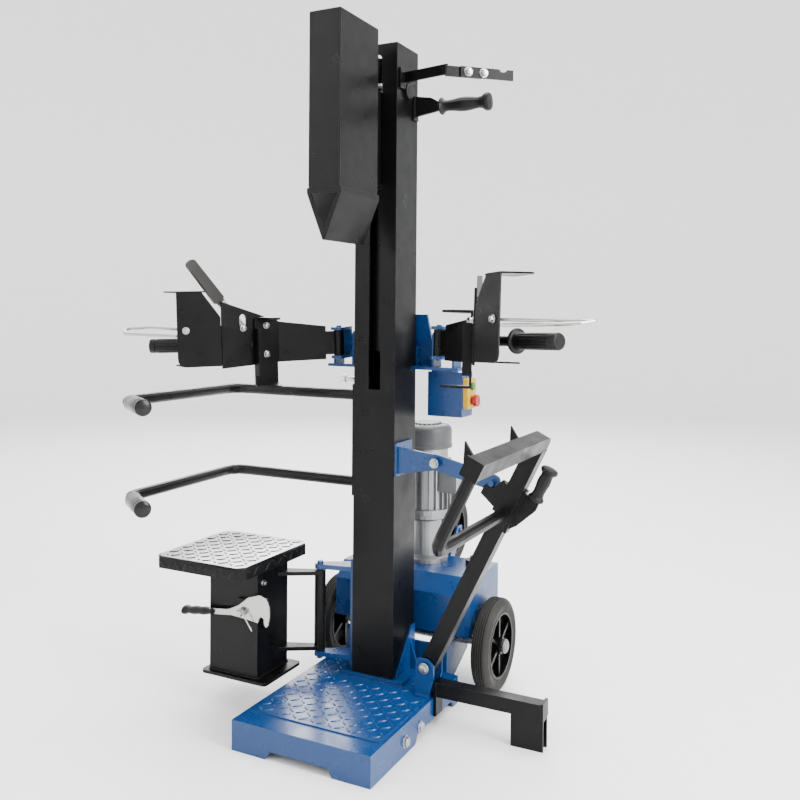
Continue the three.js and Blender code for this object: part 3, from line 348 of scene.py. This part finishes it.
def lathe(profile, steps, flutes=None, flatten=1.0):
    """Closed solid of revolution about Z from (radius, height) points.
    flutes is (count, depth, low, high): grooves along the axis between two heights."""
    bm = bmesh.new()
    rings = []
    for radius, height in profile:
        ring = []
        for i in range(steps):
            angle = 2 * math.pi * i / steps
            reach = radius
            if flutes and flutes[2] <= height <= flutes[3]:
                reach -= flutes[1] * (0.5 + 0.5 * math.cos(flutes[0] * angle)) ** 3
            ring.append(bm.verts.new((reach * math.cos(angle), reach * math.sin(angle) * flatten, height)))
        rings.append(ring)
    for low, high in zip(rings, rings[1:]):
        bridge(bm, low, high)
    bm.faces.new(list(reversed(rings[0])))
    bm.faces.new(rings[-1])
    return bm


def loop_lathe(profile, steps):
    """Ring-shaped solid of revolution about Z: the profile closes on itself."""
    bm = bmesh.new()
    rings = [circle(bm, radius, height, steps) for radius, height in profile]
    for low, high in zip(rings, rings[1:] + rings[:1]):
        bridge(bm, low, high)
    return bm


def prism(outline, low, high):
    """Closed prism between two heights."""
    bm = bmesh.new()
    bottom = [bm.verts.new((x, y, low)) for x, y in outline]
    top = [bm.verts.new((x, y, high)) for x, y in outline]
    bridge(bm, bottom, top)
    bm.faces.new(list(reversed(bottom)))
    bm.faces.new(top)
    return bm


BEAD_TURN = 2.1                     # radians of a weld's ripple for each point of its path


def sweep(points, radius, sides, ripple=0.0):
    """Tube along a smooth polyline; ripple makes the stacked beads of a weld."""
    bm = bmesh.new()
    points = [Vector(p) for p in points]
    rings = []
    side_axis = None
    for i, point in enumerate(points):
        ahead = (points[min(i + 1, len(points) - 1)] - points[max(i - 1, 0)]).normalized()
        if side_axis is None:
            side_axis = ahead.orthogonal().normalized()
        side_axis = (side_axis - ahead * side_axis.dot(ahead)).normalized()
        other = ahead.cross(side_axis)
        size = radius * (1 + ripple * math.sin(i * BEAD_TURN) + ripple * DICE.uniform(-0.5, 0.5))
        rings.append([bm.verts.new(point + (side_axis * math.cos(a) + other * math.sin(a)) * size)
                      for a in (2 * math.pi * k / sides for k in range(sides))])
    for low, high in zip(rings, rings[1:]):
        bridge(bm, low, high)
    bm.faces.new(list(reversed(rings[0])))
    bm.faces.new(rings[-1])
    return bm


def smooth_path(corners, step, bend):
    """Points along straight runs joined by rounded bends."""
    corners = [Vector(c) for c in corners]
    path = [corners[0]]
    turns = [t / 6 for t in range(7)]
    for before, here, after in zip(corners, corners[1:], corners[2:]):
        start = here + (before - here).normalized() * bend
        end = here + (after - here).normalized() * bend
        path += [start.lerp(here, t).lerp(here.lerp(end, t), t) for t in turns]
    path.append(corners[-1])
    fine = [path[0]]
    for a, b in zip(path, path[1:]):
        count = max(1, int((b - a).length / step))
        fine += [a.lerp(b, k / count) for k in range(1, count + 1)]
    return fine


def hex_bolt(across, washer=True, tall=7.0):
    """Bolt head on its washer, standing on z = 0: a chamfered hexagon with a shallow dish."""
    bm = bmesh.new()
    base = 0.0
    if washer:
        outer = across * 0.72
        merge(bm, lathe([(outer - 0.5, 0), (outer, 0.4), (outer, 1.6), (outer - 0.5, 2)], 32))
        base = 2.0
    corner = across / 2 / math.cos(math.pi / 6)
    sixths = [math.pi * i / 3 for i in range(6)]
    head = prism([(corner * math.cos(a), corner * math.sin(a)) for a in sixths], base - 0.2, base + tall)
    top = [v for v in head.verts if v.co.z > base + tall / 2]
    edges = [e for e in head.edges if all(v in top for v in e.verts)]
    bmesh.ops.bevel(head, geom=edges, offset=across * 0.07, segments=2, profile=0.5, affect="EDGES")
    merge(bm, head)
    merge(bm, lathe([(across * 0.36, base + tall - 0.6), (across * 0.36, base + tall + 0.25),
                     (across * 0.30, base + tall + 0.45)], 24))
    return bm


def bolts(name, body, places, across, washer=True, tall=7.0):
    """A row of zinc bolt heads, each given as (place, direction)."""
    bm = bmesh.new()
    for place, direction in places:
        merge(bm, hex_bolt(across, washer, tall), aim(place, direction, DICE.uniform(0, 1)))
    return finish_piece(name, bm, body, "zinc", smooth=28)


def weld(name, body, runs, look, radius):
    """Weld beads along runs of corner points."""
    bm = bmesh.new()
    for run in runs:
        merge(bm, sweep(smooth_path(run, 2.2, 3.0), radius, 8, 0.16))
    return finish_piece(name, bm, body, look, smooth=70)


# ---------------------------------------------------------------- tread plate
LUG = {"length": 27.0, "width": 7.0, "rise": 2.0, "sunk": 0.3, "pitch": 24.5, "steps": 10,
       "crest_length": 0.74, "crest_width": 0.55}
LUG_MARGIN = 8


def lug(bm, place, along, normal):
    """One raised lozenge of tread plate."""
    along = along.normalized()
    across = normal.cross(along)
    base, crest = [], []
    for i in range(LUG["steps"]):
        angle = 2 * math.pi * i / LUG["steps"]
        x = math.cos(angle) * LUG["length"] / 2
        y = math.sin(angle) * abs(math.sin(angle)) ** 0.5 * LUG["width"] / 2
        base.append(bm.verts.new(place + along * x + across * y - normal * LUG["sunk"]))
        crest.append(bm.verts.new(place + along * x * LUG["crest_length"] + across * y * LUG["crest_width"]
                                  + normal * LUG["rise"]))
    bridge(bm, base, crest)
    bm.faces.new(crest)


def lug_field(bm, origin, u, v, size_u, size_v, keep=lambda place: True):
    """Lozenges in alternating directions over a rectangle spanned by unit vectors u and v."""
    origin, u, v = Vector(origin), Vector(u), Vector(v)
    normal = u.cross(v)
    columns = max(1, round(size_u / LUG["pitch"]))
    rows = max(1, round(size_v / LUG["pitch"]))
    for i in range(columns):
        for j in range(rows):
            place = origin + u * (i + 0.5) * size_u / columns + v * (j + 0.5) * size_v / rows
            slant = u + v if (i + j) % 2 else u - v
            if keep(place):
                lug(bm, place, slant, normal)


def tray_lugs():
    """Raised pattern on the tray's tread plate, clear of the column foot and the lifter clevis."""
    bm = bmesh.new()
    side, front, back = 22, 26, 40
    column_half, column_front = 100, -100

    def clear(place):
        for low, high in (box_mm("column"), box_mm("lifter_clevis")):
            inside_x = low.x - side < place.x < high.x + side
            inside_y = low.y - front < place.y < high.y + back
            if inside_x and inside_y:
                return False
        return not (abs(place.x) < column_half and place.y > column_front)

    lug_field(bm, (-170, -344, TRAY_TOP), (1, 0, 0), (0, 1, 0), 340, 400, clear)
    return finish_piece("tray_tread_lugs", bm, "frame", "blue_paint", smooth=50)


def table_plate():
    """Folded tread plate of the table with its patterned top and lips; the lugs' steep sides stay black as
    painted shade.
    """
    low, high = box_mm("table_top")
    bend, sheet, chamfer = 5.0, 5.0, 18.0

    def ring(bm, inset, z):
        c = chamfer - inset * 0.4
        x0, x1, y0, y1 = low.x + inset, high.x - inset, low.y + inset, high.y - inset
        corners = ((x0 + c, y0), (x1 - c, y0), (x1, y0 + c), (x1, y1 - c),
                   (x1 - c, y1), (x0 + c, y1), (x0, y1 - c), (x0, y0 + c))
        return [bm.verts.new((x, y, z)) for x, y in corners]

    bm = bmesh.new()
    outer = [ring(bm, 0, low.z), ring(bm, 0, high.z - bend)]
    outer += [ring(bm, bend * (1 - math.cos(a)), high.z - bend + bend * math.sin(a)) for a in quarter(5, 1)]
    inner = [ring(bm, sheet, high.z - sheet), ring(bm, sheet, low.z)]
    for a, b in [*zip(outer, outer[1:]), *zip(inner, inner[1:]), (inner[-1], outer[0])]:
        bridge(bm, a, b)
    bm.faces.new(outer[-1])
    bm.faces.new(list(reversed(inner[0])))
    edge = 12
    x0, x1, y0, y1 = low.x + edge, high.x - edge, low.y + edge, high.y - edge
    wide, deep, tall = x1 - x0, y1 - y0, high.z - low.z - 6
    margin, foot = LUG_MARGIN, low.z + 1
    lug_field(bm, (x0, y0, high.z), (1, 0, 0), (0, 1, 0), wide, deep)
    lug_field(bm, (x0 + margin, low.y, foot), (1, 0, 0), (0, 0, 1), wide - 2 * margin, tall)
    lug_field(bm, (high.x, y0 + margin, foot), (0, 1, 0), (0, 0, 1), deep - 2 * margin, tall)
    lug_field(bm, (low.x, y1 - margin, foot), (0, -1, 0), (0, 0, 1), deep - 2 * margin, tall)
    plate = finish_piece("table_tread_plate", bm, "table", "black_paint", smooth=40,
                         replaces=("table_top",), also=(PLATE_STEEL,))
    # Up-facing faces of the top get the steel look. The steep sides of the lugs keep the black paint as
    # painted shade that outlines each lug, and the lips stay black paint.
    steel_top_above, lug_shade_slope = (high.z - 0.9) * MM, 0.93
    for polygon in plate.data.polygons:
        if polygon.center.z > steel_top_above and polygon.normal.z > lug_shade_slope:
            polygon.material_index = 1
    return plate


tray_lugs()
table_plate()


# ---------------------------------------------------------------- wheels
TYRE = {"bore_share": 0.708, "shoulder": 11.0, "grooves": 4, "depth": 3.2, "steps": 112}
HUB_CAP = {"radius": 17, "sunk": 2.5}


def tyre(name, node, body):
    """Solid tyre with circumferential grooves, a shoulder and a moulded ring on each wall."""
    low, high = box_mm(node)
    radius, width = (high.z - low.z) / 2, high.x - low.x
    inner = radius * TYRE["bore_share"]
    half = [(inner, 3), (inner + 4, 1.6), (radius - 22, 0.6), (radius - 20, -0.4), (radius - 17, -0.4),
            (radius - 15, 0.8), (radius - 8, 2.2), (radius - 3, 6), (radius - 0.8, 9.5)]
    tread = []
    pitch = (width - 2 * TYRE["shoulder"]) / TYRE["grooves"]
    for i in range(TYRE["grooves"]):
        middle = TYRE["shoulder"] + (i + 0.5) * pitch
        floor = radius - TYRE["depth"]
        tread += [(radius, middle - 2.0), (floor, middle - 1.2), (floor, middle + 1.2),
                  (radius, middle + 2.0)]
    profile = half + tread + [(r, width - h) for r, h in reversed(half)]
    bm = loop_lathe(profile, TYRE["steps"])
    centre = (low.x, (low.y + high.y) / 2, (low.z + high.z) / 2)
    bmesh.ops.transform(bm, matrix=aim(centre, (1, 0, 0)), verts=bm.verts)
    return finish_piece(name, bm, body, "tyre_rubber", smooth=40, replaces=(node,))


def hub_cap(name, side):
    """Domed cap on one end of the axle."""
    low, high = box_mm("axle")
    reach = high.x if side > 0 else low.x
    place = (reach - side * HUB_CAP["sunk"], (low.y + high.y) / 2, (low.z + high.z) / 2)
    radius = HUB_CAP["radius"]
    rise = [(radius * math.cos(a), 3 + 6 * math.sin(a)) for a in quarter(8, 0)]
    bm = lathe([(radius + 2, 0), (radius + 2, 1.5), (radius, 2.2), *rise, (0.4, 9)], 40)
    bmesh.ops.transform(bm, matrix=aim(place, (side, 0, 0)), verts=bm.verts)
    return finish_piece(name, bm, "frame", HUB_GREY, smooth=30)


for side, suffix in ((-1, "left"), (1, "right")):
    tyre(f"grooved_tyre_{suffix}", f"tyre_{suffix}", f"wheel_{suffix}")
    hub_cap(f"hub_cap_{suffix}", side)
tyre("grooved_support_tyre", "support_tyre", "wheel_support")


# ---------------------------------------------------------------- arms
def arm_matrix(side):
    """Where a solid drawn on the level right arm goes: mirrored for the left, and tilted."""
    axis = Matrix.Translation(Vector(TILT_AXIS))
    tilt = Matrix.Rotation(math.radians(-side * ARM_TILT), 4, "X")
    mirror = Matrix.Diagonal((side, 1, 1, 1))
    return axis @ tilt @ axis.inverted() @ mirror


def on_sheet(a, b, s, z, offset):
    """Point on an arm's sheet, and the direction to the log side."""
    along = (b - a).normalized()
    inward = Vector((along.y, -along.x))
    spot = a + along * s + inward * offset
    return Vector((spot.x, spot.y, z)), Vector((inward.x, inward.y, 0))


def arm_bolt(bm, side, place, direction):
    """Adds one small bolt head that is drawn on the level right arm."""
    to_arm = arm_matrix(side)
    matrix = aim(to_arm @ place, to_arm.to_3x3() @ direction, DICE.uniform(0, 1))
    merge(bm, hex_bolt(13), matrix)


def grip(name, node, body, side):
    """Fluted hand grip with a hand stop and a domed end."""
    along = (HANDLE_END - HANDLE_ROOT).normalized()
    length = (HANDLE_END - HANDLE_ROOT).length
    stop, end = length - GRIP_LENGTH, length
    profile = [(12.5, stop), (27, stop), (29, stop + 2), (29, stop + 5), (27, stop + 7.5), (22, stop + 9),
               (20, stop + 13), (19, stop + 17)]
    body_start, body_end = stop + 20, end - 20
    count = 14
    profile += [(19, body_start + (body_end - body_start) * i / count) for i in range(count + 1)]
    profile += [(18.6, end - 19), (17.2, end - 18), (17.2, end - 16.5), (19, end - 15.5), (19, end - 4),
                (17.6, end - 1.2), (14, end), (13, end - 0.8), (0.5, end - 0.8)]
    flutes = (16, 1.6, body_start + 1, body_end - 1)
    bm = lathe(profile, 96, flutes)
    root = Vector((HANDLE_ROOT.x, HANDLE_ROOT.y, HANDLE_Z))
    bmesh.ops.transform(bm, matrix=arm_matrix(side) @ aim(root, (along.x, along.y, 0)), verts=bm.verts)
    return finish_piece(name, bm, body, "grip_rubber", smooth=32, replaces=(node,))


def arm_hardware(side, suffix):
    """Bolts, nuts and the rounded fold of the guard on one arm."""
    body = f"arm_body_{suffix}"
    heads = bmesh.new()
    for z in CLAW_BOLTS["heights"]:
        arm_bolt(heads, side, *on_sheet(KNEE, GUARD, CLAW_BOLTS["along"], z, CLAW_FACE))
    for (start, end), along in zip(((KNEE, GUARD), (GUARD, TIP)), GUARD_BOLTS["along"]):
        arm_bolt(heads, side, *on_sheet(start, end, along, GUARD_BOLTS["height"], SHEET_FACE))
    finish_piece(f"arm_bolts_{suffix}", heads, body, "zinc", smooth=28)
    inward = on_sheet(KNEE, GUARD, 0, 0, 1)[1] + on_sheet(GUARD, TIP, 0, 0, 1)[1]
    corner = GUARD - inward.to_2d() * GUARD_FOLD["depth"]
    fold = bmesh.new()
    edge = sweep([(corner.x, corner.y, z) for z in GUARD_FOLD["heights"]], GUARD_FOLD["radius"], 16)
    merge(fold, edge, arm_matrix(side))
    finish_piece(f"guard_fold_{suffix}", fold, body, "black_paint", smooth=50)
    nuts = bmesh.new()
    for z in CLAW_BOLTS["heights"]:
        place, direction = on_sheet(KNEE, GUARD, CLAW_BOLTS["along"], z, -SHEET_FACE)
        arm_bolt(nuts, side, place, -direction)
    finish_piece(f"arm_nuts_{suffix}", nuts, body, "zinc", smooth=28)


for side, suffix in ((-1, "left"), (1, "right")):
    grip(f"fluted_grip_{suffix}", f"hand_grip_{suffix}", f"arm_body_{suffix}", side)
    arm_hardware(side, suffix)


# ---------------------------------------------------------------- column head
def blade_welds():
    """Beads down the front corners of the blade box and round its lower edge."""
    low, high = box_mm("blade_body")
    x0, x1, y0 = low.x + 1, high.x - 1, low.y + 1
    runs = [[(x, y0, low.z + 4), (x, y0, high.z - 2)] for x in (x0, x1)]
    runs.append([(x0, y0, low.z), (x1, y0, low.z), (x1, high.y - 4, low.z)])
    return weld("blade_welds", "blade", runs, "black_paint", 2.0)


def wedge_cheeks():
    """Plates that close the front and back of the folded wedge, just behind its edges."""
    low, high = box_mm("blade_wedge")
    sheet, set_back = 4, 0.3
    outline = [(low.x + 9, high.z - 3), (high.x - 9, high.z - 3), (1.5, low.z + 16), (-1.5, low.z + 16)]
    bm = bmesh.new()
    upright = Matrix(((1, 0, 0, 0), (0, 0, -1, 0), (0, 1, 0, 0), (0, 0, 0, 1)))
    for y in (low.y + set_back, high.y - sheet - set_back):
        merge(bm, prism(outline, -y - sheet, -y), upright)
    return finish_piece("wedge_cheeks", bm, "blade", "black_paint", bevel=0.6)


blade_welds()
wedge_cheeks()
bolts("hook_arm_bolts", "frame", [(place + HOOK_HALF_SHEET, HOOK_FACE) for place in HOOK_BOLTS], 16)
bolts("hook_arm_nuts", "frame", [(place - HOOK_HALF_SHEET, -HOOK_FACE) for place in HOOK_BOLTS], 16)


def moulded_grip(name, node, body, shape, place, flutes):
    """Moulded pistol-style grip: a swelling body between a collar and a flared end."""
    bm = lathe(shape, 64, flutes)
    bmesh.ops.transform(bm, matrix=place, verts=bm.verts)
    return finish_piece(name, bm, body, "grip_rubber", smooth=45, replaces=(node,))


def top_grip():
    """Grip that stands out from the side of the column."""
    low, high = box_mm("top_grip")
    length = high.x - low.x
    shape = [(8.6, 0), (19, 0), (22, 2), (22.5, 5), (18, 9), (14.5, 14), (14, 24), (15.5, 40), (18, 56),
             (18.6, 70), (17.6, 84), (15, 98), (14.2, 108), (16, 117), (21, 124), (23.4, 129), (23.4, 134),
             (21, 138), (15, length - 0.6), (0.5, length)]
    foot = (low.x, (low.y + high.y) / 2, (low.z + high.z) / 2)
    moulded_grip("moulded_top_grip", "top_grip", "frame", shape, aim(foot, (1, 0, 0)), (12, 0.9, 30, 112))


def lifter_grip():
    """Grip on the lifter's side handle, drawn upright and leaned out with the lifter."""
    pivot = Matrix.Translation(LIFTER_PIVOT)
    lean = pivot @ Matrix.Rotation(math.radians(LIFTER_LEAN), 4, "Y") @ pivot.inverted()
    shape = [(7.8, 0), (18.5, 0), (20, 1.5), (20, 6), (17.5, 9), (14.6, 13), (13.6, 22), (14.4, 34),
             (16, 46), (15.6, 56), (14.2, 66), (15.5, 71), (19.6, 75), (21, 78), (21, 81), (19.6, 84),
             (14, 86), (0.5, 86)]
    place = lean @ Matrix.Translation(LIFTER_GRIP_FOOT)
    moulded_grip("moulded_lifter_grip", "lifter_grip", "lifter", shape, place, (12, 0.8, 24, 64))


top_grip()
lifter_grip()


# ---------------------------------------------------------------- tray and column foot
tray_side = box_mm("base_frame")[1].x + 0.1
bolts("tray_bolts", "frame", [((tray_side, y, TRAY_BOLTS["z"]), (1, 0, 0)) for y in TRAY_BOLTS["y"]], 20)
clevis_low, clevis_high = box_mm("lifter_clevis")
bolts("clevis_bolts", "frame", [((LIFTER_PIVOT.x, clevis_low.y + 0.5, LIFTER_PIVOT.z), (0, -1, 0)),
                                ((LIFTER_PIVOT.x, clevis_high.y - 0.5, LIFTER_PIVOT.z), (0, 1, 0))], 19)


def foot_weld(name, body, xs, ys, z, look, radius):
    """Bead round the front and both sides of an upright's foot."""
    (x0, x1), (y0, y1) = xs, ys
    weld(name, body, [[(x0, y1, z), (x0, y0, z), (x1, y0, z), (x1, y1, z)]], look, radius)


column_low, column_high = box_mm("column")
foot_weld("column_foot_weld", "frame", (column_low.x, column_high.x), (column_low.y, column_high.y),
          COLUMN_FOOT, "blue_paint", 3.4)


# ---------------------------------------------------------------- table pedestal and latch
foot_weld("pedestal_welds", "table", PEDESTAL_X, PEDESTAL_Y, PEDESTAL_FOOT, "black_paint", 3.0)


def latch_grip():
    """Plastic sleeve on the latch's flat handle, with finger swells and a flared end."""
    shape = [(10, 0), (13, 1), (13.5, 7), (12, 11), (15, 22), (16.4, 32), (14.4, 42), (15.6, 52), (16.6, 62),
             (15, 72), (13, 80), (15, 86), (18.5, 91), (18, 96), (12, 98)]
    flatten = 0.62
    bm = lathe(shape, 40, None, flatten)
    start_z = LATCH_HANDLE.y + (LATCH_GRIP_X - LATCH_HANDLE.x) * LATCH_SLOPE
    place = aim((LATCH_GRIP_X, LATCH_Y, start_z), (-1, 0, -LATCH_SLOPE))
    bmesh.ops.transform(bm, matrix=place, verts=bm.verts)
    return finish_piece("latch_grip", bm, "latch", "grip_rubber", smooth=50)


latch_grip()
bolts("latch_pivot_bolt", "latch", [(LATCH_PIVOT, (0, -1, 0))], 16)
clip = sweep(smooth_path(SPRING_CLIP, 2.0, 4.0), 1.6, 10)
finish_piece("latch_spring_clip", clip, "latch", "zinc", smooth=60)
bolts("pedestal_side_bolt", "table", [(PEDESTAL_BOLT, (1, 0, 0))], 11)


# ---------------------------------------------------------------- catch hoop sleeves
def sleeve(name, z, corner):
    """Worn plastic sleeve and its domed black cap on the end of a catch bar."""
    tip = Vector((*CATCH_TIP, z))
    along = (tip - Vector((*corner, z))).normalized()
    length, radius = CATCH_SLEEVE["length"], CATCH_SLEEVE["radius"]
    shell = lathe([(15, 0), (radius - 0.6, 0), (radius, 1), (radius, length - 6),
                   (radius - 0.3, length - 5.4)], 56)
    bmesh.ops.transform(shell, matrix=aim(tip - along * length, along), verts=shell.verts)
    finish_piece(f"{name}_sleeve", shell, "frame", SLEEVE_GREY, smooth=40)
    rise = [(radius * math.cos(a), 4 * math.sin(a)) for a in quarter(7, 0)]
    cap = lathe([(radius - 0.2, -6), (radius + 0.4, -5), (radius + 0.4, -1), *rise, (0.4, 4)], 56)
    bmesh.ops.transform(cap, matrix=aim(tip, along), verts=cap.verts)
    finish_piece(f"{name}_cap", cap, "frame", CAP_BLACK, smooth=40)


for name, bar in CATCH_BARS.items():
    sleeve(name, bar["z"], bar["corner"])


# ---------------------------------------------------------------- motor and switch box
def fan_cowl():
    """Pressed cowl with a stepped dome and a ring of black bars that stand for its air slots, as painted
    shade.
    """
    low, high = box_mm("fan_cowl")
    x, y = (low.x + high.x) / 2, (low.y + high.y) / 2
    radius, tall = (high.x - low.x) / 2, high.z - low.z
    wall, shoulder = radius - 1.5, 18
    bend = tall - 24
    shape = [(radius - 1, 0), (radius, 1), (radius, 8), (wall, 9), (wall, bend)]
    shape += [(wall - shoulder * (1 - math.cos(a)), bend + shoulder * math.sin(a)) for a in quarter(8, 1)]
    shape += [(radius - 30, tall - 5), (radius - 36, tall - 1), (0.5, tall)]
    bm = lathe(shape, 72)
    bmesh.ops.transform(bm, matrix=Matrix.Translation((x, y, low.z)), verts=bm.verts)
    finish_piece("pressed_fan_cowl", bm, "frame", "cowl_grey", smooth=30, replaces=("fan_cowl",))
    # Solid black bars in place of the air slots' openings: painted shade where the slots look dark.
    slots = bmesh.new()
    count = 20
    for i in range(count):
        bar = prism([(22, -2), (44, -3), (44, 3), (22, 2)], high.z - 7, high.z - 1.0)
        turn = Matrix.Rotation(2 * math.pi * i / count, 4, "Z")
        merge(slots, bar, Matrix.Translation((x, y, 0)) @ turn)
    finish_piece("fan_cowl_slot_shade", slots, "frame", "grip_rubber", bevel=0.5)


fan_cowl()
box_low, box_high = box_mm("switch_base")
screw_inset = 7
screws = [((box_high.x - 0.6, y, z), (1, 0, 0)) for y in (box_low.y + screw_inset, box_high.y - screw_inset)
          for z in (box_low.z + screw_inset, box_high.z - screw_inset)]
bolts("switch_base_screws", "frame", screws, 6, False, 2.0)


# ---------------------------------------------------------------- latch link
link_front = box_mm("latch_link")[0].y
bolts("link_pivot_nut", "frame", [((LINK_PIVOT.x, link_front + 1.5, LINK_PIVOT.y), (0, -1, 0))], 17)



# ---------------------------------------------------------------- stage, light and camera
def studio():
    """Pale floor that curves up into a wall all round."""
    bm = bmesh.new()
    profile = [(0.01, 0), (1.5, 0), (4, 0), (FLOOR_RADIUS, 0)]
    profile += [(FLOOR_RADIUS + BOWL * math.sin(a), BOWL * (1 - math.cos(a))) for a in quarter(16, 1)]
    profile.append((FLOOR_RADIUS + BOWL, WALL))
    rings = [circle(bm, radius, height, 96) for radius, height in profile]
    for low, high in zip(rings, rings[1:]):
        bridge(bm, low, high)
    mesh = bpy.data.meshes.new("studio_floor")
    bm.to_mesh(mesh)
    bm.free()
    for polygon in mesh.polygons:
        polygon.use_smooth = True
    mesh.materials.append(PALE_FLOOR)
    made = bpy.data.objects.new("studio_floor", mesh)
    bpy.context.collection.objects.link(made)


def softbox(name, place, size, power):
    """Rectangular area light that faces the machine."""
    light = bpy.data.lights.new(name, "AREA")
    light.shape = "RECTANGLE"
    light.size, light.size_y = size
    light.energy = power
    made = bpy.data.objects.new(name, light)
    made.location = place
    made.rotation_euler = (LIGHT_TARGET - Vector(place)).to_track_quat("-Z", "Y").to_euler()
    bpy.context.collection.objects.link(made)


def camera():
    """Camera at the angle of the reference view, for a square picture."""
    yaw, pitch, roll = map(math.radians, (CAMERA_YAW, CAMERA_PITCH, CAMERA_ROLL))
    forward = Vector((-math.sin(yaw) * math.cos(pitch), math.cos(yaw) * math.cos(pitch), -math.sin(pitch)))
    right = Vector((math.cos(yaw), math.sin(yaw), 0))
    up = right.cross(forward)
    rolled_right = right * math.cos(roll) + up * math.sin(roll)
    rolled_up = up * math.cos(roll) - right * math.sin(roll)
    data = bpy.data.cameras.new("camera")
    data.lens, data.sensor_width = CAMERA_LENS, 36.0
    data.shift_x, data.shift_y = 0.0, CAMERA_SHIFT
    data.clip_end = 60.0
    made = bpy.data.objects.new("camera", data)
    axes = Matrix((rolled_right, rolled_up, -forward)).transposed().to_4x4()
    made.matrix_world = Matrix.Translation(CAMERA_AT) @ axes
    bpy.context.collection.objects.link(made)
    bpy.context.scene.camera = made


studio()
for name, (place, size, power) in LIGHTS.items():
    softbox(name, place, size, power)
world = bpy.data.worlds.new("studio")
world.use_nodes = True
sky = world.node_tree.nodes["Background"]
sky.inputs["Color"].default_value = (1, 1, 1, 1)
sky.inputs["Strength"].default_value = SKY_STRENGTH
bpy.context.scene.world = world
camera()
